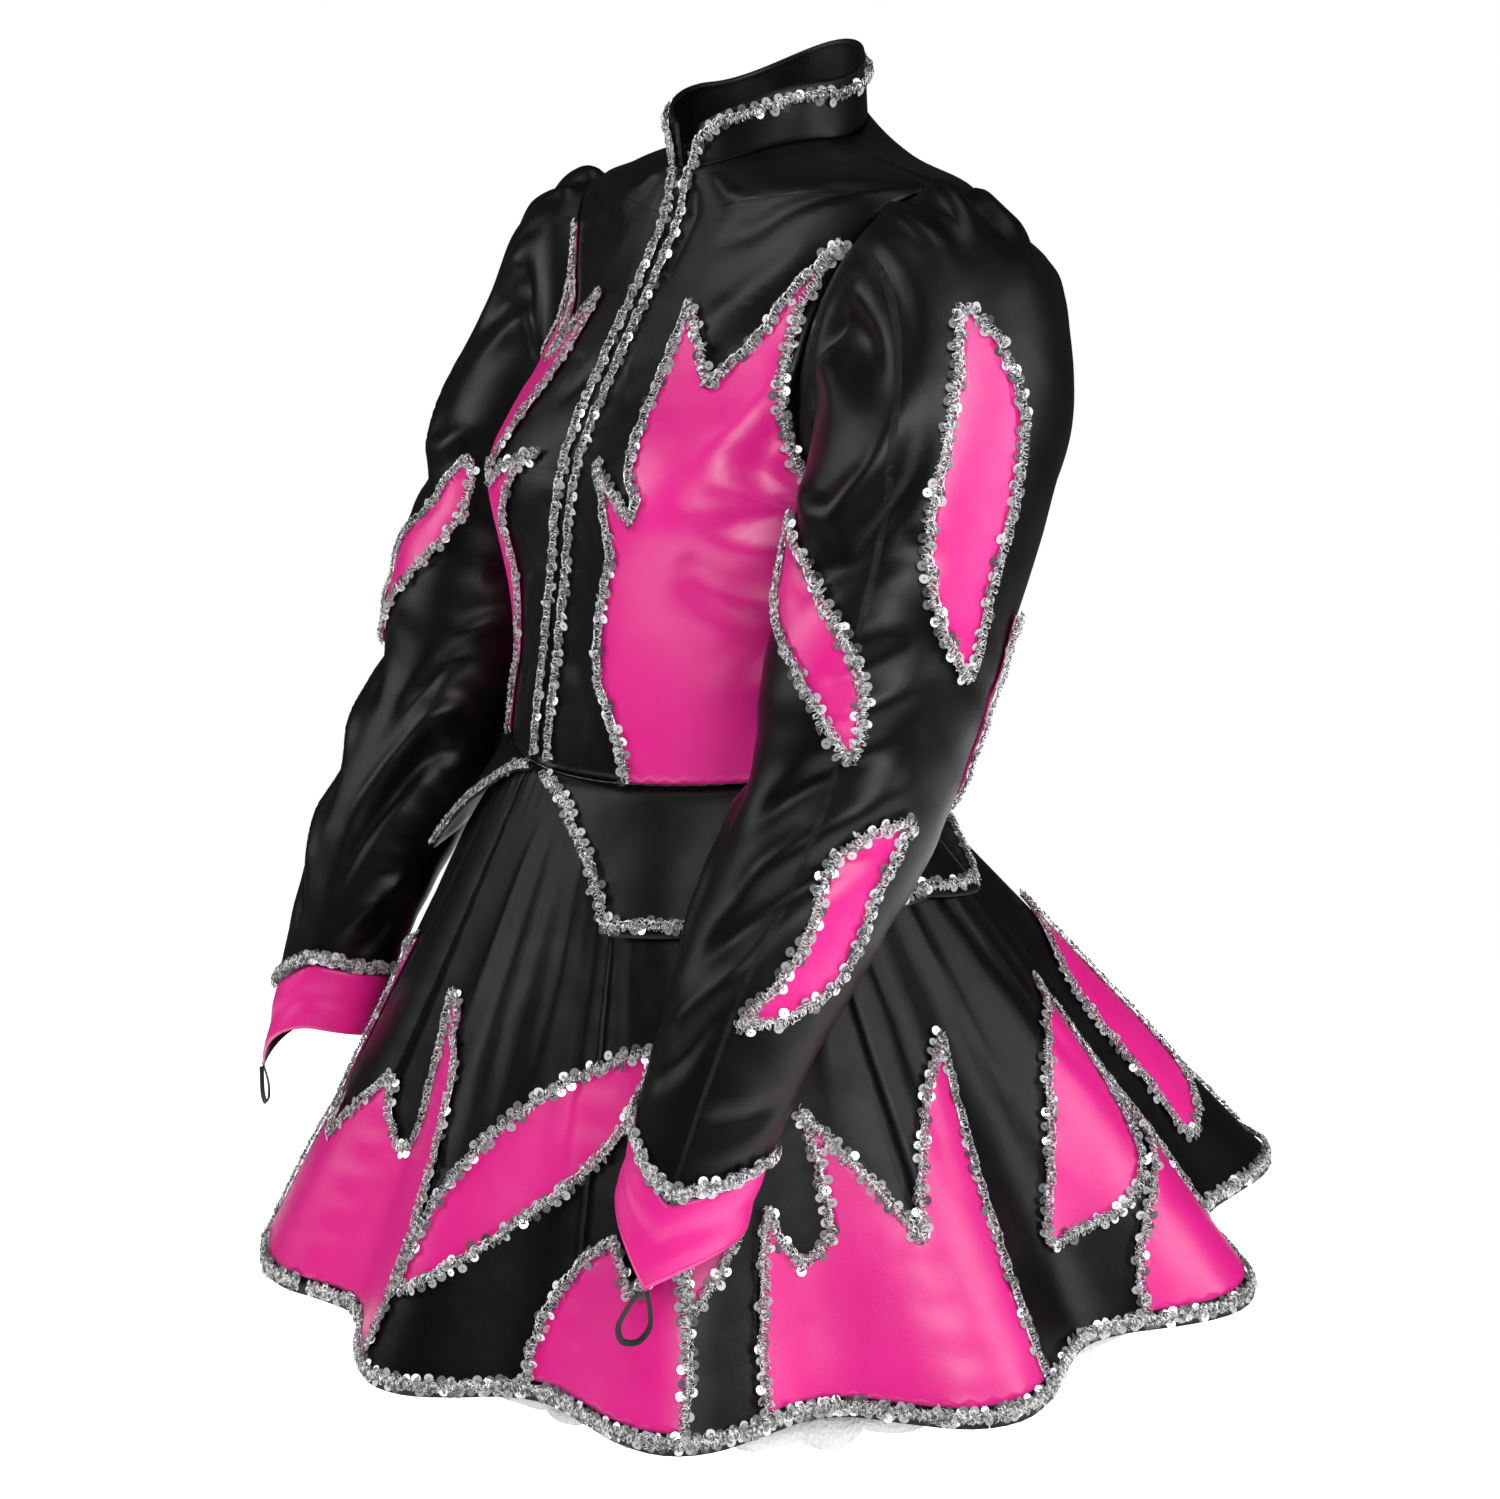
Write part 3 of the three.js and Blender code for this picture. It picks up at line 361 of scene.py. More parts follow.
def panel(name, surface, us, vs, finish, node, loop=False, thickness=CLOTH, facing=None):
    """One panel of cloth over a grid of u and v, as a wall."""
    u, v = np.meshgrid(us, vs, indexing="ij")
    places = surface.at(u, v)
    faces = grid_faces(len(us), len(vs), loop)
    if surface.outward < 0:
        faces = [face[::-1] for face in faces]
    made = piece(name, places.reshape(-1, 3), faces, finish, node)
    lay_pattern(made, u * surface.scale[0], v * surface.scale[1])
    thicken(made, thickness, facing)
    return made


def satin(name, colour, shade, roughness, specular):
    """Satin: a smooth face whose sheen wavers a little, fine warp threads, and the small crinkles of wear."""
    finish = Finish(name, colour, roughness, **{"Specular IOR Level": specular})
    cloth = finish.place("UV")
    broad = finish.noise(finish.place(), 14.0)
    fine = finish.noise(finish.place(), 120.0, 3.0)
    warp = finish.node("ShaderNodeTexWave", {"bands_direction": "X"}, {"Vector": cloth, "Scale": 620.0})
    crinkled = finish.bump(fine, 0.00012, finish.bump(broad, 0.003))
    grain = finish.bump(finish.noise(cloth, 1500.0), 0.00008, crinkled)
    finish.paint({
        "Base Color": finish.mix(broad, shade, colour),
        "Roughness": broad * 0.14 + fine * 0.08 + (roughness - 0.11),
        "Normal": finish.bump(warp, 0.00002, grain),
    })
    return finish


black_satin = satin("black_satin", (0.003, 0.003, 0.0035), (0.001, 0.001, 0.0015), 0.36, 0.2)

FRONT_FOLDS = [
    (9, -7.5, (0.96, 0.43), (0.78, 0.36), (0.5, 0.338)),
    (9, 4.6, (1.0, 0.55), (0.83, 0.47), (0.64, 0.39)),
    (8, -6.0, (1.0, 0.48), (0.85, 0.425), (0.68, 0.395)),
    (8, 3.8, (0.96, 0.37), (0.8, 0.31), (0.62, 0.31)),
    (9, -7.0, (0.5, 0.3), (0.62, 0.262), (0.84, 0.225)),
    (9, 2.6, (0.92, 0.29), (0.76, 0.19), (0.6, 0.14)),
    (7, -2.2, (0.95, 0.21), (0.8, 0.13), (0.66, 0.1)),
    (8, 2.2, (0.93, 0.69), (0.72, 0.62), (0.5, 0.56)),
    (9, -3.0, (0.93, 0.62), (0.76, 0.56), (0.6, 0.52)),
    (8, -2.6, (0.9, 0.8), (0.7, 0.72), (0.46, 0.7)),
    (7, 2.0, (0.3, 0.93), (0.42, 0.82), (0.6, 0.74)),
    (8, -2.0, (0.12, 0.9), (0.2, 0.76), (0.16, 0.6)),
    (5, -1.6, (0.1, 0.33), (0.2, 0.29), (0.27, 0.3)),
    (5, 1.3, (0.12, 0.26), (0.22, 0.2), (0.26, 0.12)),
    (5, -1.4, (0.11, 0.17), (0.2, 0.12), (0.24, 0.05)),
    (6, -1.5, (0.12, 0.5), (0.26, 0.46), (0.38, 0.47)),
]
BACK_FOLDS = [
    (11, -4.5, (0.0, 0.43), (0.16, 0.35), (0.32, 0.33)),
    (9, 3.5, (0.0, 0.52), (0.14, 0.45), (0.27, 0.43)),
    (12, -4.0, (1.0, 0.45), (0.85, 0.36), (0.68, 0.32)),
    (9, 3.0, (1.0, 0.53), (0.88, 0.47), (0.74, 0.42)),
    (12, -3.0, (0.3, 0.88), (0.38, 0.7), (0.44, 0.55)),
    (12, -3.0, (0.71, 0.9), (0.64, 0.72), (0.58, 0.56)),
    (9, 2.6, (0.4, 0.2), (0.47, 0.1), (0.5, 0.01)),
    (9, 2.2, (0.2, 0.22), (0.28, 0.12), (0.32, 0.02)),
    (10, -2.4, (0.82, 0.2), (0.74, 0.1), (0.7, 0.02)),
]
# How many millimetres of cloth one unit of u and of v stands for.
FRONT_SCALE = (165.0, 345.0)
BACK_SCALE = (370.0, 345.0)


def seam_dip(distance, depth=0.5, width=1.4):
    """Cloth turns in at a seam."""
    return -depth * np.exp(-((distance / width) ** 2))


def front_place(sign):
    def place(across, level):
        edge = 90 - SEAM_ANGLE - armhole_opening(level)
        return bodice(sign * lerp(SEAM_ANGLE, edge, across), level)

    return place


def front_relief(across, level):
    folds = relief_of(FRONT_FOLDS, across, level, FRONT_SCALE)
    inner, low = across * FRONT_SCALE[0], level * FRONT_SCALE[1]
    pucker = 0.45 * np.sin(low / 2.1 + 2 * np.sin(level * 23)) * bump(inner, 15, 9)
    waist = 0.5 * np.sin(inner / 2.6) * bump(low, 4, 10) * smooth(inner / 20) * smooth(low / 3)
    seams = seam_dip(low) + seam_dip((1 - across) * FRONT_SCALE[0]) + seam_dip(inner, 0.4, 1.2)
    return folds * smooth(low / 25) + pucker + waist + seams


def back_place(across, level):
    edge = 90 + SEAM_ANGLE + armhole_opening(level)
    return bodice(lerp(edge, 360 - edge, across), level)


def back_relief(across, level):
    folds = relief_of(BACK_FOLDS, across, level, BACK_SCALE)
    low, side = level * BACK_SCALE[1], np.minimum(across, 1 - across) * BACK_SCALE[0]
    waist = 0.7 * np.sin(across * BACK_SCALE[0] / 2.7) * bump(low, 3, 12)
    return folds * smooth(low / 25) + waist + seam_dip(low) + seam_dip(side)


# The armhole's edge needs rows close together where it turns.
bodice_levels = np.unique(np.round(np.concatenate([
    np.linspace(0, 1, 80),
    ARMHOLE["middle"] + ARMHOLE["reach"] * np.cos(np.linspace(0, np.pi, 41)),
]), 4))
fronts = {}
for side in SIDES:
    fronts[side["name"]] = Surface(front_place(side["sign"]), side["sign"], front_relief, FRONT_SCALE)
    front = panel(
        f"satin_front_{side['name']}", fronts[side["name"]], np.linspace(0, 1, 46), bodice_levels,
        black_satin, [f"bodice_front_{side['name']}"],
    )
back = Surface(back_place, 1, back_relief, BACK_SCALE)
satin_back = panel("satin_back", back, np.linspace(0, 1, 70), bodice_levels, black_satin, ["bodice_back"])

# The stand collar: a double strip of the same satin, stiffened, that parts over the zip with rounded corners.
# Its lower edge is set a little into the neck seam, so that no light shows through it.
COLLAR = {"gap": -0.6, "front": 29, "nape": 38, "part_below": 2, "part_above": 12, "round_top": 4, "slope": 2}
COLLAR_SCALE = (380.0, 33.0)


def collar_place(across, up):
    part = lerp(COLLAR["part_below"], COLLAR["part_above"], up)
    angle = lerp(part, 360 - part, across)
    base = bodice(angle, np.ones(np.shape(angle)))
    inward = unit(points(-base[..., 0], BODICE_SECTIONS[-1]["centre"] - base[..., 1], 0 * angle))
    corner = COLLAR["round_top"] * np.maximum(0, 1 - np.minimum(across, 1 - across) * 14) ** 2
    height = lerp(COLLAR["front"], COLLAR["nape"], (1 - cos_of(angle)) / 2) - corner
    lifted = base + inward * (COLLAR["slope"] * up)[..., None]
    lifted[..., 2] += COLLAR["gap"] + up * height
    return lifted


def collar_relief(across, up):
    ends, height = np.minimum(across, 1 - across) * COLLAR_SCALE[0], COLLAR_SCALE[1]
    roll = seam_dip((1 - up) * height, 0.5, 1.6) + seam_dip(ends, 0.5, 1.6) + seam_dip(up * height, 0.6, 1.5)
    return roll + 0.5 * np.sin(across * 41) * np.sin(up * 3.1)


collar = Surface(collar_place, 1, collar_relief, COLLAR_SCALE)
satin_collar = panel(
    "satin_collar", collar, np.linspace(0, 1, 150), np.linspace(0, 1, 16), black_satin, ["collar"], thickness=1.6,
)

# The sleeves: one piece each, gathered into the armhole, with a soft puffed head. The cloth drags in a deep fold
# in front of the shoulder, creases at the elbow, and narrows to the wrist.
RING = ("x", "y", "z", "tilt", "out", "along")
SLEEVE_RINGS = [
    dict(zip(RING, row))
    for row in (
        (162, -8, -124, 84, 80, 62),
        (174, -12, -124, 75, 84, 66),
        (188, -17, -134, 60, 80, 68),
        (200, -25, -156, 42, 70, 68),
        (207, -38, -184, 24, 63, 67),
        (211, -54, -222, 10, 60, 66),
        (215, -72, -264, 2, 58, 63),
        (218, -89, -308, -3, 56, 60),
        (221, -106, -352, -6, 52, 55),
        (223, -132, -394, -8, 48, 50),
        (224, -160, -436, -8, 44, 46),
        (225, -182, -478, -8, 40, 41),
        (225, -200, -520, -6, 36, 37),
        (224, -214, -562, -6, 35, 36),
    )
]
CAP = {"gathers": 9, "depth": 4, "fade": 0.16, "arc": 62, "in": 0.55, "short": 0.005}
CUFF = {
    "point": 52, "dip_arc": 75, "dip": 0.045, "length": 0.068, "tip_arc": 95, "tip": 0.06, "sharp": 1.75,
    "start": 0.915, "seam": 0.0006,
}


def armhole_spot(turn):
    opening = (ARMHOLE["opening"] - CAP["in"]) * (1 - ARMHOLE["taper"] * cos_of(turn))
    level = ARMHOLE["middle"] + (ARMHOLE["reach"] - CAP["short"]) * cos_of(turn)
    return bodice(90 - opening * sin_of(turn), level)


def ring_point(k, turn):
    row = SLEEVE_RINGS[k]
    centre = np.array([row["x"], row["y"], row["z"]], float)
    after = min(k + 1, len(SLEEVE_RINGS) - 1)
    start, stop = ([SLEEVE_RINGS[i][key] for key in ("x", "y", "z")] for i in (after - 1, after))
    outward = np.array([cos_of(row["tilt"]), 0, sin_of(row["tilt"])])
    forward = unit(np.cross(unit(np.subtract(stop, start)), outward))
    if forward[1] > 0:
        forward = -forward
    wide, deep = row["out"] * cos_of(turn), row["along"] * sin_of(turn)
    return centre + outward * wide[..., None] + forward * deep[..., None]


def left_sleeve(turn, along):
    rings = np.stack([armhole_spot(turn)] + [ring_point(k, turn) for k in range(1, len(SLEEVE_RINGS))])
    place = through(lambda k: np.take_along_axis(rings, k[None, ..., None], axis=0)[0], len(rings), along)
    turned = (turn + 180) % 360 - 180
    gather = sin_of(turned * CAP["gathers"]) * smooth(1 - np.abs(turned) / CAP["arc"])
    swell = CAP["depth"] * gather * np.sin(np.pi * np.clip(along / CAP["fade"], 0, 1))
    return place + points(0.5 * swell, 0 * swell, 0.86 * swell)


def long_sleeve(turn, along):
    place = left_sleeve(turn, np.minimum(along, 1))
    before = left_sleeve(turn, np.full(np.shape(along), 0.98))
    beyond = place + (place - before) * ((along - 1) / 0.02)[..., None]
    return np.where((along > 1)[..., None], beyond, place)


def sleeve_place(side):
    def place(turn, along):
        turn, along = np.broadcast_arrays(turn, along)
        at = long_sleeve(turn, along)
        bent = smooth((along - 0.3) / 0.45)
        return points(
            side["sign"] * (at[..., 0] - side["tuck"] * bent),
            at[..., 1] - side["forward"] * bent,
            at[..., 2] - side["drop"] * along * smooth(along * 3),
        )

    return place


def point_at(turn, arc):
    away = np.abs((turn - CUFF["point"] + 540) % 360 - 180)
    return np.maximum(0, 1 - away / arc)


def sleeve_end(turn):
    return CUFF["start"] + CUFF["dip"] * point_at(turn, CUFF["dip_arc"])


def cuff_end(turn):
    return CUFF["start"] + CUFF["length"] + CUFF["tip"] * point_at(turn, CUFF["tip_arc"]) ** CUFF["sharp"]


SLEEVE_SCALE = (1.08, 590.0)
SLEEVE_RUN = 560  # from the armhole to the wrist
SLEEVE_FOLDS = [
    (15, -12, (84, 0.06), (74, 0.18), (60, 0.31)),
    (8, 5.5, (112, 0.345), (92, 0.385), (76, 0.388), (58, 0.35), (43, 0.27)),
    (10, -6, (112, 0.42), (88, 0.445), (62, 0.42), (42, 0.35), (34, 0.27)),
    (5, 3.2, (66, 0.1), (60, 0.2), (50, 0.3)),
    (5, -3.0, (53, 0.05), (50, 0.15), (42, 0.26)),
    (6, 4.0, (96, 0.08), (92, 0.2), (84, 0.3)),
    (5, 4.5, (34, 0.005), (28, 0.08), (22, 0.19)),
    (5, -5.0, (22, 0.005), (18, 0.07), (14, 0.17)),
    (5, 4.0, (10, 0.005), (6, 0.06), (2, 0.14)),
    (5, -5.0, (-3, 0.005), (-8, 0.08), (-6, 0.18)),
    (6, 4.2, (-18, 0.005), (-18, 0.07), (-24, 0.16)),
    (6, -4.5, (-32, 0.005), (-32, 0.09), (-28, 0.19)),
    (6, 3.4, (-50, 0.01), (-48, 0.09), (-52, 0.18)),
    (7, -4.0, (-68, 0.02), (-64, 0.12), (-74, 0.24)),
    (7, -3.2, (56, 0.43), (36, 0.4), (14, 0.41)),
    (6, 2.4, (60, 0.48), (40, 0.46), (20, 0.47)),
    (9, 6.5, (84, 0.72), (56, 0.66), (30, 0.607), (0, 0.55)),
    (7, -5.5, (94, 0.665), (62, 0.61), (36, 0.563), (12, 0.52)),
    (8, -6.0, (92, 0.775), (60, 0.715), (30, 0.655), (-2, 0.605)),
    (6, 3.6, (60, 0.55), (34, 0.517), (8, 0.485)),
    (5, -2.6, (66, 0.52), (40, 0.49), (16, 0.452)),
    (7, 3.6, (96, 0.83), (66, 0.78), (40, 0.722)),
    (6, -3.2, (100, 0.88), (76, 0.84), (56, 0.79)),
    (8, 5.5, (166, 0.63), (146, 0.66), (126, 0.75), (118, 0.8)),
    (8, -6.0, (176, 0.67), (156, 0.7), (138, 0.79), (130, 0.86)),
    (7, -5.0, (156, 0.58), (138, 0.61), (122, 0.68)),
    (6, 4.0, (182, 0.52), (160, 0.54), (140, 0.575)),
    (6, -3.6, (186, 0.47), (166, 0.48), (146, 0.5)),
    (7, 4.6, (190, 0.8), (168, 0.84), (140, 0.9)),
    (7, -4.2, (196, 0.85), (172, 0.89), (150, 0.94)),
    (6, 3.6, (52, 0.925), (20, 0.905), (-20, 0.885)),
    (6, -3.4, (44, 0.885), (14, 0.868), (-22, 0.84)),
    (6, 3.0, (110, 0.955), (84, 0.93), (58, 0.92)),
    (8, -4.0, (-56, 0.5), (-84, 0.47), (-116, 0.46)),
    (7, 3.4, (-60, 0.56), (-90, 0.54), (-120, 0.55)),
    (8, -3.6, (-40, 0.68), (-74, 0.66), (-108, 0.68)),
    (8, -3.6, (-34, 0.8), (-66, 0.82), (-100, 0.87)),
    (11, -4.0, (-60, 0.3), (-84, 0.34), (-112, 0.33)),
]


def sleeve_relief(turn, along):
    turned = (turn + 150) % 360 - 150
    folds = relief_of(SLEEVE_FOLDS, turned, along, SLEEVE_SCALE)
    tight = np.clip((0.93 - along) / 0.09, 0, 1)
    puckers = 0.9 * np.sin(along * 210 + 1.5 * np.sin(along * 37)) * bump(turned, 178, 16)
    crinkle = 0.3 * np.sin(along * 130 + 2.4 * sin_of(turned * 2)) * smooth((along - 0.38) / 0.1) * tight
    crinkle = crinkle + puckers * smooth((along - 0.2) / 0.1)
    end = (sleeve_end(turned) - along) * SLEEVE_RUN
    roll = 2.6 * bump(along, 0.035, 0.028) * smooth(along / 0.012)
    return folds * smooth(along / 0.03) * smooth(tight) + crinkle + roll + seam_dip(end)


sleeves = {}
sleeve_turns = CUFF["point"] + np.arange(0, 360, 3.6)
for side in SIDES:
    name = side["name"]
    place = sleeve_place(side)
    shares = np.concatenate([np.linspace(0, 0.3, 42)[:-1], np.linspace(0.3, 1, 84)])
    sleeves[name] = Surface(
        lambda turn, share, place=place: place(turn, share * sleeve_end(turn)), side["sign"],
        lambda turn, share: sleeve_relief(turn, share * sleeve_end(turn)), SLEEVE_SCALE,
    )
    satin_sleeve = panel(
        f"satin_sleeve_{name}", sleeves[name], sleeve_turns, shares, black_satin, [f"sleeve_{name}"], loop=True
    )

# The cuffs: pink satin faced with black, sewn to the sleeve along a dipped seam and drawn out to a point that
# lies over the back of the hand.
pink_satin = satin("pink_satin", (0.78, 0.011, 0.27), (0.66, 0.006, 0.20), 0.38, 0.6)


def cuff_cut(place, sign):
    def along_at(turn, share):
        return lerp(sleeve_end(turn) + CUFF["seam"], cuff_end(turn), share)

    def relief(turn, share):
        crease = 0.8 * np.sin(share * 9 + sin_of(turn * 3)) * bump(share, 0.5, 0.3)
        return crease + seam_dip(share * 40) + seam_dip((1 - share) * 40, 0.5, 1.6)

    return Surface(lambda turn, share: place(turn, along_at(turn, share)), sign, relief, (0.65, 50.0))


cuffs = {}
cuff_turns = CUFF["point"] + np.arange(-180, 180, 4.0)
for side in SIDES:
    name = side["name"]
    cuffs[name] = cuff_cut(sleeve_place(side), side["sign"])
    cuff = panel(
        f"satin_cuff_{name}", cuffs[name], cuff_turns, np.linspace(0, 1, 20), pink_satin, [f"cuff_{name}"],
        loop=True, facing=black_satin,
    )

# The skirt: eight flared gores of the satin, joined at seams and sewn to the waist. It falls in eleven folds that
# start as nothing at the waist and are deepest at the hem.
SKIRT = {
    "waist_drop": 0.4, "hem_front": 285, "hem_back": 347, "hem_middle": -30, "z_front": -690, "z_back": -674,
    "ease": 1.3,
}
GORES = 8
FIRST_SEAM = -8
FOLDS = [
    (-16, 16), (15, 18), (50, 17), (84, 19), (118, 25), (151, 24), (184, 22), (216, 24), (248, 20), (281, 21),
    (344, 16),
]
SKIRT_SCALE = (4.3, 335.0)


def fold(angle):
    turned = (angle + 16 + 720) % 360 - 16
    crests = np.array([crest for crest, _ in FOLDS], float)
    depths = np.array([depth for _, depth in FOLDS], float)
    after = np.clip(np.searchsorted(crests, turned, side="right"), 1, len(FOLDS) - 1)
    t = (turned - crests[after - 1]) / (crests[after] - crests[after - 1])
    return lerp(depths[after - 1], depths[after], t) * np.cos(2 * np.pi * t)


def skirt(angle, rise, folds=1.0, out=0.0):
    angle, rise = np.broadcast_arrays(np.asarray(angle, float), np.asarray(rise, float))
    base = BODICE_SECTIONS[0]
    depth = np.where(cos_of(angle) > 0, base["front"], base["back"])
    waist = section_radius(angle, base["half"], depth, base["square"])
    waist_z = bodice(angle, np.zeros(angle.shape))[..., 2] - SKIRT["waist_drop"]
    drop = 1 - rise
    behind = (1 - cos_of(angle)) / 2
    hem = lerp(SKIRT["hem_front"], SKIRT["hem_back"], behind**1.5)
    radius = lerp(waist, hem, drop) + folds * fold(angle) * np.maximum(0, drop) ** SKIRT["ease"] + out
    z = lerp(waist_z, lerp(SKIRT["z_front"], SKIRT["z_back"], behind), drop)
    middle = lerp(base["centre"], SKIRT["hem_middle"], drop)
    return points(radius * sin_of(angle), middle - radius * cos_of(angle), z)


def seam_distance(angle, rise):
    gore = 360 / GORES
    away = np.abs((angle - FIRST_SEAM + gore / 2) % gore - gore / 2)
    return away * lerp(5.0, 2.0, np.clip(rise, 0, 1))


SKIRT_CREASES = [
    (8, 3.0, (10, 0.92), (8, 0.62), (5, 0.34)), (7, -3.0, (17, 0.94), (17, 0.6), (20, 0.3)),
    (8, 3.4, (27, 0.93), (27, 0.66), (25, 0.36)), (7, -3.4, (35, 0.92), (33, 0.6), (33, 0.3)),
    (7, 2.6, (43, 0.9), (42, 0.66), (44, 0.42)), (8, -3.0, (57, 0.93), (58, 0.6), (57, 0.36)),
    (8, 3.0, (76, 0.9), (77, 0.62), (74, 0.4)), (7, -3.2, (88, 0.92), (90, 0.6), (87, 0.3)),
    (8, 3.0, (101, 0.9), (104, 0.5), (108, 0.2)), (7, -3.0, (112, 0.9), (116, 0.58), (119, 0.3)),
    (8, 3.4, (133, 0.88), (136, 0.5), (140, 0.26)), (8, -3.0, (160, 0.92), (163, 0.6), (160, 0.3)),
    (9, 3.0, (176, 0.9), (175, 0.56), (178, 0.3)), (8, -3.0, (199, 0.9), (202, 0.6), (200, 0.34)),
    (8, 3.2, (219, 0.92), (222, 0.6), (220, 0.28)), (7, -3.0, (236, 0.9), (233, 0.6), (235, 0.4)),
    (8, 3.0, (258, 0.92), (256, 0.6), (259, 0.3)), (8, -3.2, (273, 0.9), (275, 0.52), (272, 0.3)),
    (7, 2.8, (292, 0.9), (290, 0.6), (293, 0.34)), (8, -3.0, (309, 0.92), (312, 0.6), (310, 0.3)),
    (8, 3.0, (325, 0.9), (327, 0.6), (325, 0.4)), (7, -2.6, (337, 0.9), (336, 0.66), (338, 0.42)),
]


def skirt_relief(angle, rise):
    near = seam_distance(angle, rise)
    pucker = 0.3 * np.sin(rise * 95 + sin_of(angle * 5)) * bump(near, 0, 12)
    hem = 0.5 * sin_of(angle * 60) * bump(rise, 0.0, 0.05)
    slack = 1.6 * sin_of(angle * 7 + 60 * rise) * np.sin(np.pi * np.clip(rise, 0, 1)) ** 2
    waist = 0.8 * sin_of(angle * 71 + 40 * sin_of(angle * 3)) * bump(rise, 1.0, 0.07)
    turned = (angle + 20) % 360 - 20
    soft = relief_of(SKIRT_CREASES, turned, rise, SKIRT_SCALE)
    return seam_dip(near, 0.35, 1.2) + pucker + hem + slack + waist + soft + seam_dip((1 - rise) * 330)


shell = Surface(skirt, 1, skirt_relief, SKIRT_SCALE)
gore_rises = np.linspace(0, 1, 46)
for k in range(GORES):
    start = FIRST_SEAM + k * 360 / GORES
    gore = panel(
        f"satin_gore_{k + 1}", shell, np.linspace(start + 0.05, start + 360 / GORES - 0.05, 30), gore_rises,
        black_satin, [f"skirt_gore_{k + 1}"],
    )

# The peplum: two side pieces and a back piece that hang from the waist seam over the skirt. They are cut away
# in front, drawn out to points at the corners, and the right one is caught up so that its lining shows.
PEPLUM = {
    "start": 4.5, "side_end": 124, "seam": 0.1, "off": 2.2, "stand": 26, "folds": 0.5, "angle": -30, "spread": 20,
    "lift": 40,
}
PEPLUM_EDGE = [
    (PEPLUM["start"], 0.01), (13, 0.026), (20, 0.055), (30, 0.13), (38, 0.24), (54, 0.235), (108, 0.235),
    (124, 0.275), (142, 0.225), (180, 0.235),
]


def peplum_place(angle, drop):
    turned = (angle + 180) % 360 - 180
    stand = PEPLUM["stand"] + PEPLUM["lift"] * bump(turned, PEPLUM["angle"], PEPLUM["spread"])
    return skirt(angle, 1 - drop, PEPLUM["folds"], PEPLUM["off"] + drop * stand)


def peplum_edge(angle):
    return np.interp(np.minimum(angle, 360 - angle), *zip(*PEPLUM_EDGE))


def peplum_relief(angle, drop):
    wave = 1.8 * sin_of(angle * 9) * np.clip(drop / 0.25, 0, 1)
    return wave * smooth(drop / 0.1) + seam_dip(drop * 330, 1.5, 3.0)


flaps = Surface(peplum_place, -1, peplum_relief, (2.4, 330.0))
side_end, seam = PEPLUM["side_end"], PEPLUM["seam"]
PEPLUM_PIECES = {
    "left": (PEPLUM["start"], side_end - seam),
    "back": (side_end + seam, 360 - side_end - seam),
    "right": (360 - side_end + seam, 360 - PEPLUM["start"]),
}
for name, (start, stop) in PEPLUM_PIECES.items():
    cut = Surface(
        lambda angle, share: peplum_place(angle, share * peplum_edge(angle)), -1,
        lambda angle, share: peplum_relief(angle, share * peplum_edge(angle)), (2.4, 80.0),
    )
    corners = [angle for edge, _ in PEPLUM_EDGE for angle in (edge, 360 - edge) if start < angle < stop]
    columns = np.unique(np.concatenate([np.arange(start, stop, 1.5), [stop], corners]))
    flap = panel(f"satin_peplum_{name}", cut, columns, np.linspace(0, 1, 16), black_satin, [f"peplum_{name}"])

# The petticoat: a plain white cotton underskirt sewn into the waist seam, with a gathered frill of machine lace
# that shows below the skirt's hem. The lace is a net with denser sprigs, and its border is closed and scalloped.
PETTICOAT = {
    "in": 1.9, "hem_in": 36, "frill_at": 0.2, "frill_end": -0.05, "ruffles": 32, "ruffle": 3.2, "scallop": 0.014,
    "scallops": 22.5, "dip": 0.03, "dip_at": 62, "dip_arc": 24, "seam": 0.0015,
}


def petticoat_in(rise):
    return -PETTICOAT["in"] - PETTICOAT["hem_in"] * np.maximum(0, 1 - rise) ** 1.2


def underskirt_place(angle, rise):
    return skirt(angle, rise, 0.0, petticoat_in(np.minimum(rise, 1)))


def flat_relief(u, v):
    return np.zeros(np.broadcast(u, v).shape)


white_cotton = Finish("white_cotton", (0.86, 0.86, 0.85), 0.85, "white_lace", **{"Sheen Weight": 0.15})
cotton_place = white_cotton.place()
white_cotton.paint({
    "Normal": white_cotton.bump(white_cotton.noise(cotton_place, 260.0, 3.0), 0.0004),
    "Base Color": white_cotton.mix(white_cotton.noise(cotton_place, 30.0), (0.80, 0.80, 0.79), (0.89, 0.89, 0.88)),
})
underskirt = panel(
    "petticoat_cloth", Surface(underskirt_place, 1, flat_relief, SKIRT_SCALE), np.arange(0, 360, 4.0),
    np.linspace(PETTICOAT["frill_at"], 1, 14), white_cotton, ["petticoat"], loop=True, thickness=1.0,
)


def frill_place(angle, share):
    angle, share = np.broadcast_arrays(angle, share)
    hang = PETTICOAT["frill_end"] - PETTICOAT["dip"] * bump(angle, PETTICOAT["dip_at"], PETTICOAT["dip_arc"])
    scallop = PETTICOAT["scallop"] * (1 - np.abs(sin_of(angle * PETTICOAT["scallops"])) ** 0.7)
    low = hang + scallop * bump(share, 0, 0.3)
    rise = lerp(low, PETTICOAT["frill_at"] - PETTICOAT["seam"], share)
    wave = PETTICOAT["ruffle"] * (1 - share) * sin_of(angle * PETTICOAT["ruffles"] + 90)
    return skirt(angle, rise, 0.0, petticoat_in(rise) + wave)


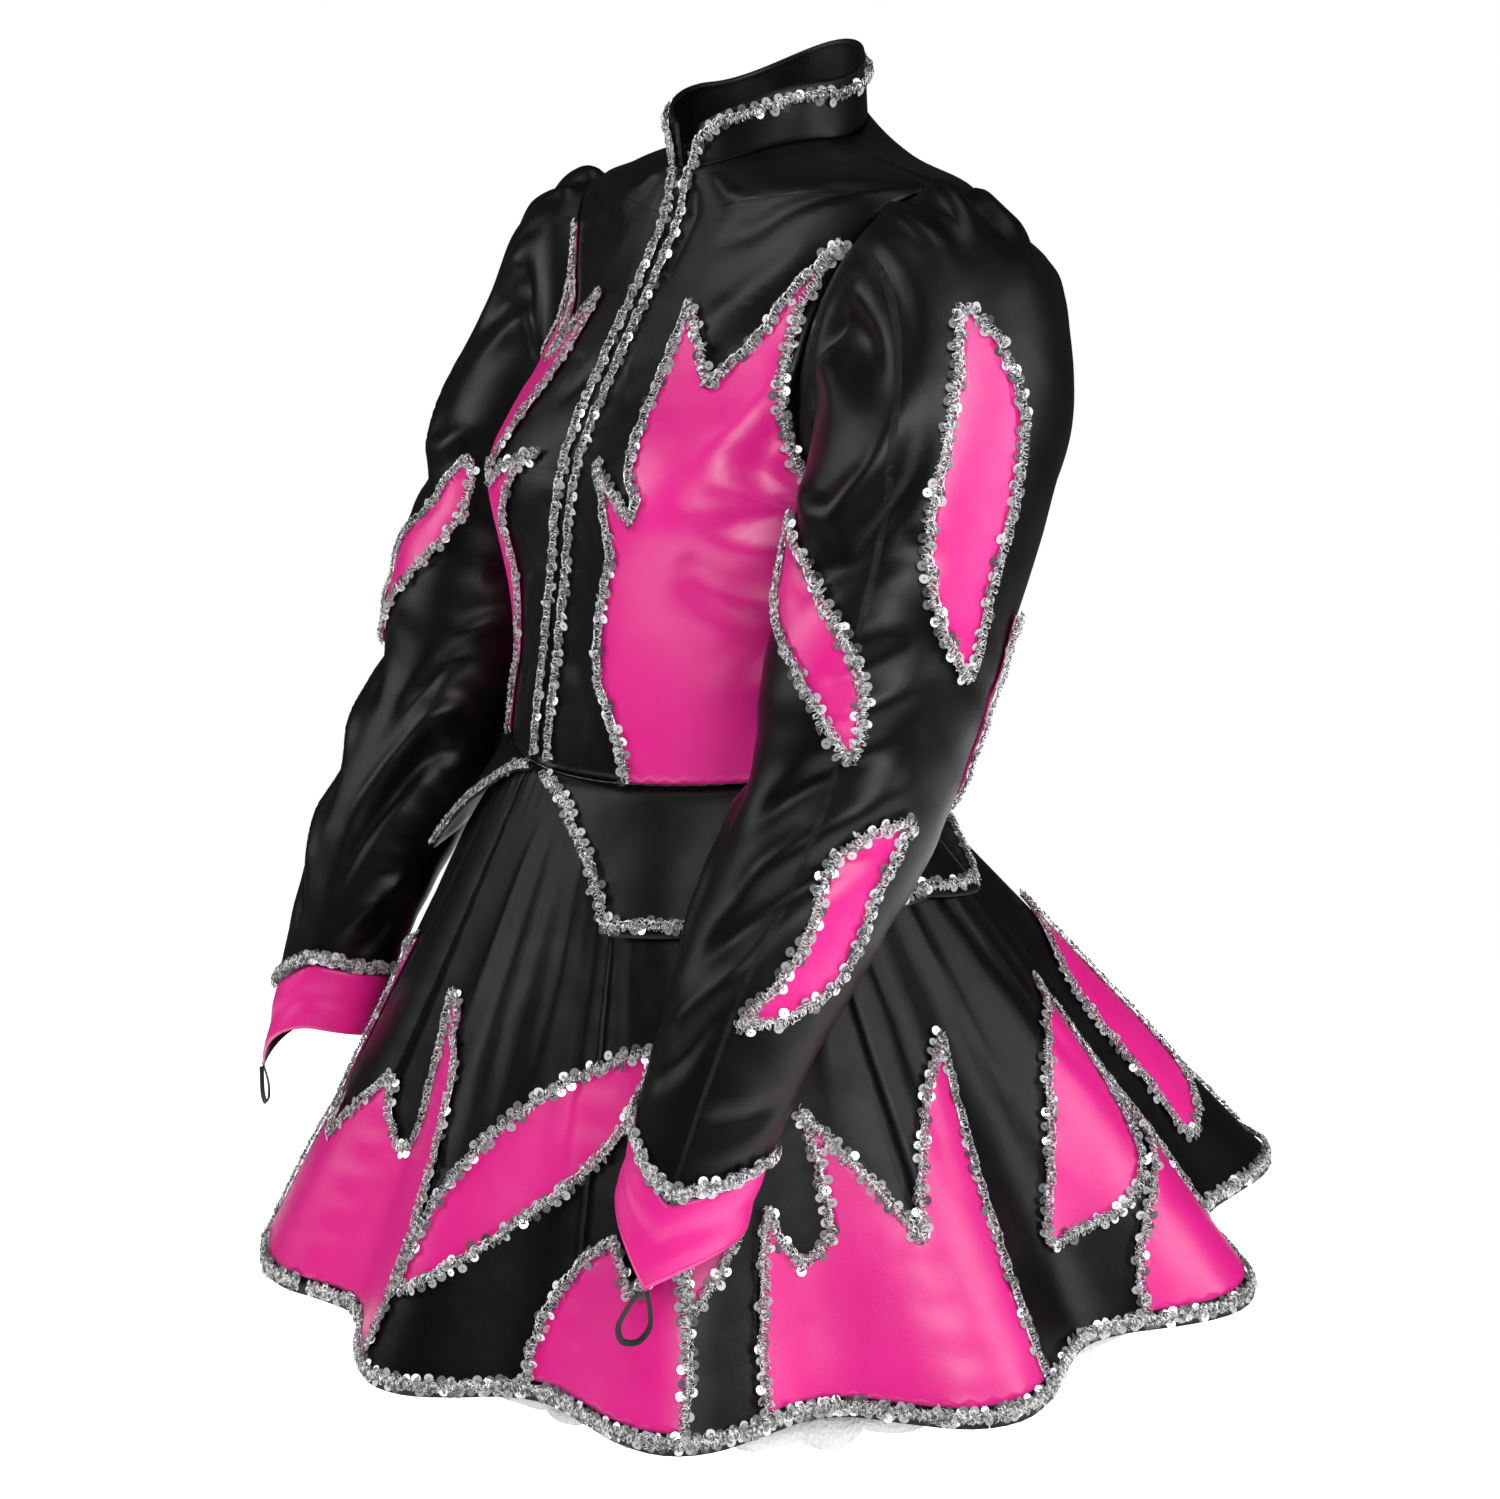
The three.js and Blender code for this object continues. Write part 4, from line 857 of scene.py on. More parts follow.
LACE_BORDER = 16
lace = Finish("white_lace", (0.78, 0.78, 0.78), 0.8, **{"Sheen Weight": 0.2})
lace_place = lace.place("UV")
holes = lace.node("ShaderNodeTexVoronoi", {"feature": "DISTANCE_TO_EDGE"}, {"Vector": lace_place, "Scale": 300.0})
sprigs = lace.noise(lace_place, 90.0, 1.0) > 0.5
up_the_frill = lace.node("ShaderNodeSeparateXYZ", {}, {"Vector": lace_place}, 1)
open_net = (holes > 0.26) * (1 - sprigs) * (up_the_frill > LACE_BORDER * MM)
lace.paint({"Alpha": 1 - open_net, "Normal": lace.bump(holes, -0.0012)})
frill = panel(
    "lace_edge", Surface(frill_place, 1, flat_relief, (4.6, 80.0)), np.arange(0, 360, 0.5), np.linspace(0, 1, 12),
    lace, ["lace_frill"], loop=True, thickness=0.5,
)

# The motifs: flames and leaves of pink satin laid on the black and stitched down under their braid. A flame is a
# row of corners: across and up its panel, and how far the edge to the next corner bows out, as a share of it.
APPLIQUE = 0.8
APPLIQUE_LIFT = 0.9
ON_MOTIF = APPLIQUE_LIFT + APPLIQUE
FRONT_FLAME = [
    (0.42, 0.0015, -0.05), (0.278, 0.13, 0.09), (0.325, 0.29, -0.04), (0.222, 0.387, 0.04), (0.39, 0.337, -0.04),
    (0.478, 0.612, 0.03), (0.70, 0.508, -0.06), (0.98, 0.7, -0.03), (0.975, 0.45, 0.0), (0.975, 0.0015, 0.0),
]
HOOKED_FLAME = [
    (0.0, 0.032, 0.03), (0.09, 0.335, -0.08), (0.2, 0.235, -0.22), (0.355, 0.35, -0.06), (0.31, 0.475, 0.05),
    (0.665, 0.275, 0.12), (1.15, 0.55, -0.04), (0.94, 0.032, 0.0),
]
LEANING_FLAME = [
    (0.0, 0.032, 0.05), (0.2, 0.33, -0.1), (0.3, 0.26, 0.03), (0.56, 0.415, -0.12), (0.76, 0.3, -0.22),
    (0.9, 0.38, 0.0), (0.76, 0.585, 0.12), (1.15, 0.48, 0.06), (1.17, 0.032, 0.0),
]
LOW_FLAME = [
    (0.0, 0.032, 0.13), (0.58, 0.29, -0.06), (0.7, 0.215, -0.12), (0.86, 0.385, 0.06), (0.97, 0.032, 0.0),
]
SKIRT_FLAMES = [
    (333, 33, LEANING_FLAME), (31, 21, LOW_FLAME), (60, 32, HOOKED_FLAME), (108, 27, LOW_FLAME),
    (155, 32, HOOKED_FLAME), (212, 22, LOW_FLAME), (241, 32, HOOKED_FLAME), (289, 27, LOW_FLAME),
]
# A leaf: its two tips, half its width, and how far its middle bows and sways, in millimetres.
SKIRT_LEAVES = [
    (14, 0.15, 48, 0.58, 27, -14, -4), (52, 0.2, 60, 0.6, 15, 0, 5), (101, 0.17, 126, 0.55, 24, 4, 6),
    (141, 0.13, 153, 0.6, 22, -4, 7), (194, 0.14, 229, 0.59, 27, -10, -4), (233, 0.2, 241, 0.6, 15, 0, 5),
    (282, 0.17, 307, 0.55, 24, 4, 6), (319, 0.13, 331, 0.6, 22, -4, 7),
]
SLEEVE_LEAVES = {
    "left": {
        "upper": (21, 0.228, -9, 0.522, 21, 4, -6),
        "front": (120, 0.412, 41, 0.6, 19, 0, 8),
        "lower": (0, 0.645, 45, 0.836, 21, -9, 13),
        "back": (-38, 0.46, -98, 0.66, 18, 0, -8),
    },
    "right": {
        "upper": (18, 0.225, -9, 0.53, 21, 3, -5),
        "front": (118, 0.412, 62, 0.625, 19, 3, 7),
        "lower": (-3, 0.64, 45, 0.83, 20, -7, 11),
        "back": (-38, 0.46, -96, 0.66, 18, 0, -8),
    },
}
EDGE_STEP = 2.5  # between the points of a motif's edge, and inside it
GRAIN = 4.5


def flame_outline(corners, scale, start=0.0, width=1.0):
    """The edge of a flame as places on its panel: bowed stretches from corner to corner. The last stretch is the
    foot, which takes no braid, so the edge without it comes back too."""
    rows = np.array([(start + width * across, up, bow) for across, up, bow in corners])
    stretches = []
    for (u0, v0, bow), (u1, v1, _) in zip(rows, np.roll(rows, -1, axis=0)):
        a = np.array([u0 * scale[0], v0 * scale[1]])
        b = np.array([u1 * scale[0], v1 * scale[1]])
        count = max(2, round(np.hypot(*(b - a)) / EDGE_STEP))
        aside = np.array([-(b - a)[1], (b - a)[0]]) * bow * 2
        t = np.arange(count) / count
        stretches.append((a + np.outer(t, b - a) + np.outer(2 * t * (1 - t), aside)) / np.array(scale))
    return np.concatenate(stretches), np.concatenate(stretches[:-1] + [rows[-1:, :2]])


def leaf_outline(leaf, scale):
    """The edge of a leaf, all round: a lens with an S between its two tips."""
    u0, v0, u1, v1, belly, bow, sway = leaf
    a, b = np.array([u0, v0]) * scale, np.array([u1, v1]) * scale
    length = np.hypot(*(b - a))
    across = np.array([(b - a)[1], -(b - a)[0]]) / length
    t = np.linspace(0, 1, max(12, round(length / EDGE_STEP)))
    middle = bow * np.sin(np.pi * t) + sway * np.sin(2 * np.pi * t)
    half = belly * np.sin(np.pi * t) ** 0.75
    line = a + np.outer(t, b - a)
    right = line + np.outer(middle + half, across)
    left = line + np.outer(middle - half, across)
    edge = np.concatenate([right, left[-2:0:-1]]) / np.array(scale)
    return edge, edge


def inside_points(ring, step):
    """Staggered points inside a ring, none of them nearer to it than about half a step."""
    low, high = ring.min(axis=0), ring.max(axis=0)
    xs, ys = np.arange(low[0], high[0], step), np.arange(low[1], high[1], step)
    spots = np.array([(x, y + (i % 2) * step / 2) for i, x in enumerate(xs) for y in ys])
    gap = np.full(len(spots), np.inf)
    crossings = np.zeros(len(spots), int)
    for p, q in zip(ring, np.roll(ring, -1, axis=0)):
        run = q - p
        t = np.clip((spots - p) @ run / max(run @ run, 1e-9), 0, 1)
        gap = np.minimum(gap, np.hypot(*(spots - p - np.outer(t, run)).T))
        spans = (p[1] > spots[:, 1]) != (q[1] > spots[:, 1])
        at = p[0] + (spots[:, 1] - p[1]) * run[0] / (run[1] if abs(run[1]) > 1e-9 else 1e-9)
        crossings += spans & (spots[:, 0] < at)
    return spots[(crossings % 2 == 1) & (gap > 0.45 * step)]


def motif(node, surface, outline):
    """The satin inside an outline, as a mesh of small triangles on the panel, and its area in square metres."""
    flat = outline * np.array(surface.scale)
    every = np.concatenate([flat, inside_points(flat, GRAIN)])
    ring = [(i, (i + 1) % len(flat)) for i in range(len(flat))]
    verts, _, faces, *_ = delaunay_2d_cdt([tuple(p) for p in every], ring, [], 1, 1e-4)
    uv = np.array([tuple(p) for p in verts]) / np.array(surface.scale)
    places = surface.at(uv[:, 0], uv[:, 1], ON_MOTIF)
    faces = np.array([tuple(face) for face in faces])
    a, b, c = (places[faces[:, k]] for k in range(3))
    outward = surface.normal(uv[:, 0], uv[:, 1])[faces[:, 0]]
    facing = np.einsum("ij,ij->i", np.cross(b - a, c - a), outward) > 0
    faces = np.where(facing[:, None], faces, faces[:, ::-1])
    made = piece(f"satin_{node}", places, faces.tolist(), pink_satin, [node])
    area = float(sum(face.area for face in made.data.polygons))
    lay_pattern(made, uv[:, 0] * surface.scale[0], uv[:, 1] * surface.scale[1])
    thicken(made, APPLIQUE)
    return made, area


motifs = []
for side in SIDES:
    name = side["name"]
    flame = flame_outline(FRONT_FLAME, FRONT_SCALE)
    motifs.append((f"flame_front_{name}", fronts[name], [f"satin_front_{name}"], *flame))
    for where, leaf in SLEEVE_LEAVES[name].items():
        outline = leaf_outline(leaf, SLEEVE_SCALE)
        motifs.append((f"leaf_sleeve_{where}_{name}", sleeves[name], [f"satin_sleeve_{name}"], *outline))
skirt_cuts = [
    (f"flame_skirt_{k + 1}", flame_outline(corners, SKIRT_SCALE, start, width))
    for k, (start, width, corners) in enumerate(SKIRT_FLAMES)
]
skirt_cuts += [(f"leaf_skirt_{k + 1}", leaf_outline(leaf, SKIRT_SCALE)) for k, leaf in enumerate(SKIRT_LEAVES)]
for node, (outline, edge) in skirt_cuts:
    under = np.unique(np.floor((outline[:, 0] - FIRST_SEAM) * GORES / 360).astype(int) % GORES)
    motifs.append((node, shell, [f"satin_gore_{k + 1}" for k in under], outline, edge))
for node, surface, below, outline, _ in motifs:
    made, area = motif(node, surface, outline)
    size = outline * np.array(surface.scale) * MM
    wide, tall = (float(x) for x in size.max(axis=0) - size.min(axis=0))
    area = min(max(area, 0.31 * wide * tall), wide * tall)

# The sequin braid: silver thread crocheted into loops along a narrow tape, with flat round sequins sewn in two
# rows so that they overlap along both its edges. It edges every motif, the fronts, collar, cuffs and hems.
SEQUIN = {
    "radius": 2.75, "hole": 0.5, "sides": 10, "pitch": 6.9, "row": 3.0, "lift": 1.3, "missing": 0.27, "stray": 0.9,
    "sway": 0.6, "tip": 8, "roll": 10,
}
STRANDS = [
    {"pitch": 3.7, "reach": 3.3, "curl": 2.0, "lift": 2.2, "radius": 0.42},
    {"pitch": 4.5, "reach": 2.4, "curl": 2.4, "lift": 2.8, "radius": 0.4},
]
STRAND_POINTS = 6
STRAND_SIDES = 3
TAPE = {"half": 1.2, "lift": 0.7, "every": 7}
TAPE_FORM = [(-1.0, 0.1), (-0.7, 0.9), (0.0, 1.15), (0.7, 0.9), (1.0, 0.1)]
STEP = 0.5  # along every course
chance = np.random.default_rng(7)

# The sequins' base colour runs from dark grey to near white by a random tone for each one: painted reflections,
# the dark discs and white glints of silver sequins catching the light.
silver_sequin = Finish("silver_sequin", (0.6, 0.6, 0.62), 0.2, "sequin_braid", Metallic=0.6, Alpha=0.82)
tone = silver_sequin.node("ShaderNodeAttribute", {"attribute_name": "tone"}, {}, "Fac")
silver_sequin.paint({
    "Base Color": silver_sequin.mix(tone, (0.13, 0.13, 0.14), (0.95, 0.95, 0.97)),
    "Roughness": tone * 0.2 + 0.14,
})
silver_thread = Finish("silver_thread", (0.6, 0.6, 0.62), 0.3, "sequin_braid", Metallic=0.85)
thread_place = silver_thread.place()
glint = silver_thread.noise(thread_place, 420.0, 1.0)
silver_thread.paint({
    "Base Color": silver_thread.mix(glint * 3.2 - 1.1, (0.2, 0.2, 0.21), (1.0, 1.0, 1.0)),
    "Roughness": glint * 0.3 + 0.12,
    "Normal": silver_thread.bump(silver_thread.noise(thread_place, 1600.0), 0.0003),
})


def track(u, v):
    return np.stack(np.broadcast_arrays(u, v), axis=-1).astype(float)


def course_of(surface, path, closed, lift):
    """Even steps along a path on a surface: places, and the directions up, forward and aside."""
    uv = np.concatenate([path, path[:1]]) if closed else path
    dense = []
    for start, stop in zip(uv[:-1], uv[1:]):
        count = max(2, int(np.hypot(*((stop - start) * surface.scale)) / 0.6))
        dense.append(lerp(start, stop, (np.arange(count) / count)[:, None]))
    dense = np.concatenate(dense + [uv[-1:]])
    places = surface.at(dense[:, 0], dense[:, 1], lift)
    run = np.concatenate([[0], np.cumsum(np.linalg.norm(np.diff(places, axis=0), axis=1))])
    u, v = (np.interp(np.arange(0, run[-1], STEP), run, dense[:, k]) for k in range(2))
    at, up = surface.at(u, v, lift), surface.normal(u, v)
    padded = np.pad(np.gradient(at, axis=0), ((2, 2), (0, 0)), mode="edge")
    forward = unit(np.stack([np.convolve(padded[:, k], np.ones(5) / 5, "valid") for k in range(3)], axis=-1))
    return {"at": at, "up": up, "forward": forward, "aside": unit(np.cross(forward, up)), "length": run[-1]}


def taken(course, along):
    """A course's places and directions, up, forward and aside, so many millimetres along it."""
    ids = np.clip(along / STEP, 0, len(course["at"]) - 1).astype(int)
    return (course[key][ids] for key in ("at", "up", "forward", "aside"))


def ring_of(sides, across, over, first=0.0):
    """A ring round each place of a line, as offsets along two of its directions."""
    turns = (np.arange(sides) + first) * 2 * np.pi / sides
    return np.cos(turns)[None, :, None] * across[:, None] + np.sin(turns)[None, :, None] * over[:, None]


def sequins_on(course):
    """Both rows of sequins along a course, as places, faces and one tone each, which paints its reflection from a
    dark disc to a white glint.
    """
    sides = SEQUIN["sides"]
    rows = []
    for row in (-1, 1):
        first = 0.0 if row < 0 else SEQUIN["pitch"] / 2
        spots = np.arange(first, course["length"] - 0.6, SEQUIN["pitch"])
        spots = spots + chance.normal(0, SEQUIN["stray"], len(spots))
        spots = spots[chance.random(len(spots)) > SEQUIN["missing"]]
        count = len(spots)
        at, up, forward, aside = taken(course, spots)
        side = row * (SEQUIN["row"] + chance.normal(0, SEQUIN["sway"], count))
        lift = SEQUIN["lift"] + chance.uniform(-0.3, 0.5, count)
        centre = at + aside * side[:, None] + up * lift[:, None]
        tip = np.radians(SEQUIN["tip"] + chance.normal(0, 13, count))[:, None]
        roll = np.radians(row * SEQUIN["roll"] + chance.normal(0, 14, count))[:, None]
        disc = ring_of(sides, forward * np.cos(tip) + up * np.sin(tip), aside * np.cos(roll) - up * np.sin(roll))
        disc = disc * (SEQUIN["radius"] * chance.uniform(0.9, 1.04, count))[:, None, None]
        rings = [centre[:, None] + disc * share for share in (1.0, SEQUIN["hole"] / SEQUIN["radius"])]
        rows.append(np.concatenate(rings, axis=1))
    places = np.concatenate(rows)
    starts = np.arange(len(places)) * 2 * sides
    faces = (tube_faces(2, sides) + starts[:, None, None]).reshape(-1, 4)
    tones = np.repeat(np.concatenate([chance.beta(0.9, 0.9, len(row)) for row in rows]), 2 * sides)
    return places.reshape(-1, 3), faces, tones


def loops_on(course):
    """The looped threads along the middle of a course, as thin tubes, and the tape under them."""
    places, faces, offset = [], [], 0
    for strand in STRANDS:
        count = max(2, int(course["length"] / strand["pitch"] * STRAND_POINTS))
        t = np.linspace(0.3, course["length"] - 0.3, count)
        phase = t / strand["pitch"] * 2 * np.pi + 0.8 * np.sin(t / 6.1)
        swing = strand["reach"] * (np.sin(phase) + 0.22 * np.sin(t / 3.3) + 0.18 * np.sin(t / 8.7 + 1))
        at, up, _, aside = taken(course, t + strand["curl"] * np.cos(phase))
        height = strand["lift"] + 0.6 * np.cos(2 * phase + 0.6) + 0.3 * np.sin(t / 2.3)
        line = at + aside * swing[:, None] + up * height[:, None]
        tube, around = tube_along(line, up, strand["radius"], STRAND_SIDES)
        places.append(tube)
        faces.append(around + offset)
        offset += count * STRAND_SIDES
    at, up, aside = (course[key][:: TAPE["every"]] for key in ("at", "up", "aside"))
    columns = [at + aside * TAPE["half"] * x + up * (TAPE["lift"] * y) for x, y in TAPE_FORM]
    places.append(np.stack(columns, axis=1).reshape(-1, 3))
    faces.append(np.array([face[::-1] for face in grid_faces(len(at), len(TAPE_FORM))]) + offset)
    return np.concatenate(places), np.concatenate(faces)


def tube_along(line, up, radius, sides):
    """A thin tube round a line of places, open at its ends."""
    forward = unit(np.gradient(line, axis=0))
    right = unit(np.cross(forward, up))
    ring = ring_of(sides, right, np.cross(right, forward))
    return (line[:, None] + radius * ring).reshape(-1, 3), tube_faces(len(line), sides)


def tube_faces(count, sides):
    start = (np.arange(count - 1) * sides)[:, None]
    k = np.arange(sides)[None, :]
    n = (k + 1) % sides
    return np.stack([start + k, start + n, start + sides + n, start + sides + k], axis=-1).reshape(-1, 4)


def braid(name, courses, node=()):
    """The braid along one or more courses: a piece of sequins and a piece of thread."""
    for kind, lay, finish in (("sequins", sequins_on, silver_sequin), ("thread", loops_on, silver_thread)):
        parts = [lay(course) for course in courses]
        offsets = np.cumsum([0] + [len(part[0]) for part in parts[:-1]])
        places = np.concatenate([part[0] for part in parts])
        faces = np.concatenate([part[1] + offset for part, offset in zip(parts, offsets)])
        made = piece(f"{name}_{kind}", places, faces.tolist(), finish, node if kind == "sequins" else ())
        if kind == "sequins":
            tones = made.data.attributes.new("tone", "FLOAT", "POINT")
            tones.data.foreach_set("value", np.concatenate([part[2] for part in parts]).astype(np.float32))


for key in ("flame_front_left", "flame_front_right", "leaf_sleeve", "flame_skirt", "leaf_skirt"):
    rows = [row for row in motifs if row[0].startswith(key)]
    braid(f"braid_{key}", [course_of(surface, edge, "leaf" in key, ON_MOTIF) for _, surface, _, _, edge in rows])

ON_PANEL = 1.0
HEM_INSET = 0.018
FRONT_INSET = 0.006
hem_path = track(np.arange(FIRST_SEAM, FIRST_SEAM + 360, 1.0), HEM_INSET)
braid("braid_hem", [course_of(shell, hem_path, True, ON_PANEL)], ["hem_braid"])

start = PEPLUM["start"]
flap_corners = [corner for edge, _ in PEPLUM_EDGE for corner in (edge, 360 - edge)]
flap_angles = np.unique(np.concatenate([np.arange(start, 360 - start, 1.5), flap_corners]))
inset = np.where((flap_angles > 38) & (flap_angles < 322), HEM_INSET, FRONT_INSET)
flap_path = track(flap_angles, peplum_edge(flap_angles) - inset)
braid("braid_peplum", [course_of(flaps, flap_path, False, ON_PANEL)], ["peplum_braid"])

FROM_ZIP = 7.6
for side in SIDES:
    name = side["name"]
    levels = np.linspace(0.012, 1.0, 90)
    reach = column(BODICE_SECTIONS, "front", levels) * np.radians(90 - armhole_opening(levels))
    front_course = course_of(fronts[name], track(FROM_ZIP / reach, levels), False, ON_PANEL)
    braid(f"braid_front_{name}", [front_course], [f"front_braid_{name}"])
    cuff_course = course_of(sleeves[name], track(cuff_turns, 0.99), True, ON_PANEL)
    braid(f"braid_cuff_{name}", [cuff_course], [f"cuff_braid_{name}"])

collar_turn = [(0.02, 0.0), (0.02, 0.45), (0.034, 0.66), (0.07, 0.74)]
collar_run = [(u, 0.74) for u in np.linspace(0.08, 0.92, 60)]
collar_path = np.array(collar_turn + collar_run + [(1 - u, v) for u, v in collar_turn[::-1]])
braid("braid_collar", [course_of(collar, collar_path, False, ON_PANEL)], ["collar_braid"])

# The stitching: a lockstitch row close to the collar's top edge, inside and out, and one round each cuff's end,
# in polyester thread of the cloth's own colour. Each stitch is a short round-ended strand.
STITCH = {"pitch": 2.7, "length": 2.2, "radius": 0.22, "sides": 4}
STITCH_FORM = [(-0.5, 0.3), (-0.3, 1.0), (0.3, 1.0), (0.5, 0.3)]
STITCHED_AT = 0.93
ON_FACE = 0.05
black_thread = Finish("black_thread", (0.02, 0.02, 0.022), 0.45, "black_satin")
pink_thread = Finish("pink_thread", (0.62, 0.012, 0.2), 0.5, "pink_satin")
for thread in (black_thread, pink_thread):
    thread.paint({"Normal": thread.bump(thread.noise(thread.place(), 2600.0), 0.0002)})


def capped_faces(count, sides):
    """The faces of a tube of so many rings, closed at both ends."""
    size = count * sides
    return tube_faces(count, sides).tolist() + [list(range(sides))[::-1], list(range(size - sides, size))]


def stitch_row(name, course, finish):
    at, up, forward, aside = taken(course, np.arange(1.5, course["length"] - 1.5, STITCH["pitch"]))
    sides, count = STITCH["sides"], len(STITCH_FORM)
    ring = STITCH["radius"] * ring_of(sides, aside, up)
    rings = [(at + forward * (x * STITCH["length"]))[:, None] + share * ring for x, share in STITCH_FORM]
    one = [face[::-1] for face in capped_faces(count, sides)]
    faces = [[corner + k * sides * count for corner in face] for k in range(len(at)) for face in one]
    piece(name, np.concatenate(rings, axis=1).reshape(-1, 3), faces, finish)


collar_edge = track(np.linspace(0.012, 0.988, 120), STITCHED_AT)
for where, lift in (("out", ON_FACE), ("in", -1.75)):
    stitch_row(f"collar_stitches_{where}", course_of(collar, collar_edge, False, lift), black_thread)
for name, cuff in cuffs.items():
    cuff_course = course_of(cuff, track(cuff_turns, STITCHED_AT), True, ON_FACE)
    stitch_row(f"cuff_stitches_{name}", cuff_course, pink_thread)

# The zip: a closed coil on woven tape, concealed behind the front edges. Its slider stays at the neck, and the
# small lacquered pull tab swings on the slider's pin.
ZIP = {"half": 7, "low": 0.012, "high": 0.985, "under": -1.5, "thick": 0.8}
zip_tape = Finish("zip_tape", (0.012, 0.012, 0.014), 0.8)
zip_place = zip_tape.place("UV")
ribs = zip_tape.node("ShaderNodeTexWave", {"bands_direction": "Y"}, {"Vector": zip_place, "Scale": 300.0})
zip_tape.paint({"Normal": zip_tape.bump(ribs, 0.0002)})
tape_surface = Surface(bodice, 1, lambda u, v: flat_relief(u, v) + ZIP["under"], (1.5, 345.0))
tape = panel(
    "zip_tape_cloth", tape_surface, np.linspace(-ZIP["half"], ZIP["half"], 9),
    np.linspace(ZIP["low"], ZIP["high"], 90), zip_tape, ["zip_tape"], thickness=ZIP["thick"],
)
COIL = {"pitch": 1.3, "across": 1.3, "deep": 0.55, "lift": -1.5, "wire": 0.24, "points": 8, "sides": 4}
coil_course = course_of(tape_surface, track(0.0, np.linspace(0.014, 0.983, 90)), False, COIL["lift"])
along = np.arange(0.5, coil_course["length"] - 0.5, COIL["pitch"] / COIL["points"])
wind = along / COIL["pitch"] * 2 * np.pi
_, up, _, aside = taken(coil_course, along)
coil_line = np.stack([
    np.interp(along, np.arange(len(row)) * STEP, row) for row in coil_course["at"].T
], axis=-1)
coil_line += aside * (COIL["across"] * np.cos(wind))[:, None] + up * (COIL["deep"] * np.sin(wind))[:, None]
coil_places, coil_faces = tube_along(coil_line, up, COIL["wire"], COIL["sides"])
coil_nylon = Finish("coil_nylon", (0.016, 0.016, 0.018), 0.4, "zip_tape")
coil_nylon.paint({"Roughness": coil_nylon.noise(coil_nylon.place(), 500.0) * 0.2 + 0.3})
coil = piece("zip_coil", coil_places, coil_faces.tolist(), coil_nylon)
zip_metal = Finish("zip_metal", (0.02, 0.02, 0.022), 0.32, Metallic=0.6)
zip_metal.paint({"Roughness": zip_metal.noise(zip_metal.place(), 400.0) * 0.2 + 0.22})


# The slider lies at the neck on the line of the front. It and its tab are made upright, facing -Y, then leant on
# that line.
SLIDER = {
    "level": 0.95, "off": 0.5, "width": 3.4, "height": 7, "thick": 1.4, "waist": 0.72, "round": 0.35, "rim": 0.55,
    "crown": 0.25,
}
CHEEK = {"width": 0.6, "y": -2.7, "deep": 3.2, "tall": 2.6, "round": 0.25}
PIN = {"radius": 0.5, "y": -3.4, "z": 1.1, "short": 0.2}
TAB = {
    "eye": 1.1, "bar": 0.36, "width": 1.6, "thick": 1.0, "top": 0.2, "low": -8.5, "well": 0.28, "hole": 0.45,
    "slope": 0.06, "forward": 0.2, "round": 0.28, "taper": 0.8,
}
ON_PIN = {"location": (0, PIN["y"] * MM, PIN["z"] * MM), "rotation": (0, np.pi / 2, 0)}
slider_spot = bodice(0, SLIDER["level"])
up_front = bodice(0, SLIDER["level"] + 0.01) - bodice(0, SLIDER["level"] - 0.01)
lean = float(np.arctan2(up_front[1], up_front[2]))
laid = Matrix.Translation(Vector(slider_spot + SLIDER["off"] * np.array([0, -np.cos(lean), np.sin(lean)])) * MM)
laid = laid @ Matrix.Rotation(-lean, 4, "X")


def block(at, size, edge):
    """A block with rounded edges, in millimetres."""
    bpy.ops.object.select_all(action="DESELECT")
    bpy.ops.mesh.primitive_cube_add(size=MM, location=Vector(at) * MM, scale=size)
    made = settled()
    rounded = made.modifiers.new("edges", "BEVEL")
    rounded.width = edge * MM
    rounded.segments = 3
    rounded.limit_method = "ANGLE"
    return made


def bar_across(radius, length):
    """A round bar along X, where the tab turns."""
    bpy.ops.object.select_all(action="DESELECT")
    bpy.ops.mesh.primitive_cylinder_add(vertices=24, radius=radius * MM, depth=length * MM, **ON_PIN)
    return settled()


def as_one(name, parts, body, node):
    """Applies what the parts still carry, joins them, and lays them on the front."""
    for part in parts:
        bpy.ops.object.select_all(action="DESELECT")
        part.select_set(True)
        bpy.context.view_layer.objects.active = part
        for modifier in list(part.modifiers):
            bpy.ops.object.modifier_apply(modifier=modifier.name)
        part.data.materials.clear()
        part.data.materials.append(zip_metal.material)
    for part in parts:
        part.select_set(True)
    bpy.context.view_layer.objects.active = parts[0]
    bpy.ops.object.join()
    made = bpy.context.active_object
    made.name = made.data.name = name
    bpy.ops.object.origin_set(type="ORIGIN_CURSOR")
    made.data.transform(laid)
    bpy.ops.object.shade_smooth_by_angle(angle=np.radians(35))
    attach(made, body)
    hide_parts(node)


def narrowed(made, keep, share):
    """Draws in, across the width, the points that keep picks."""
    for vertex in made.data.vertices:
        if keep(vertex.co / MM):
            vertex.co.x *= share


crown = block((0, -SLIDER["thick"] / 2, 0), (SLIDER["width"], SLIDER["thick"], SLIDER["height"]), SLIDER["round"])
narrowed(crown, lambda at: at.z < 0, SLIDER["waist"])
bpy.ops.object.mode_set(mode="EDIT")
bpy.ops.mesh.select_all(action="DESELECT")
bpy.ops.object.mode_set(mode="OBJECT")
for face in crown.data.polygons:
    face.select = face.normal.y < -0.9
bpy.ops.object.mode_set(mode="EDIT")
bpy.ops.mesh.inset(thickness=SLIDER["rim"] * MM, depth=SLIDER["crown"] * MM)
bpy.ops.object.mode_set(mode="OBJECT")
cheek_at = SLIDER["width"] / 2 - CHEEK["width"] / 2
cheek_size = (CHEEK["width"], CHEEK["deep"], CHEEK["tall"])
cheeks = [block((x, CHEEK["y"], PIN["z"]), cheek_size, CHEEK["round"]) for x in (-cheek_at, cheek_at)]
pin = bar_across(PIN["radius"], SLIDER["width"] - PIN["short"])
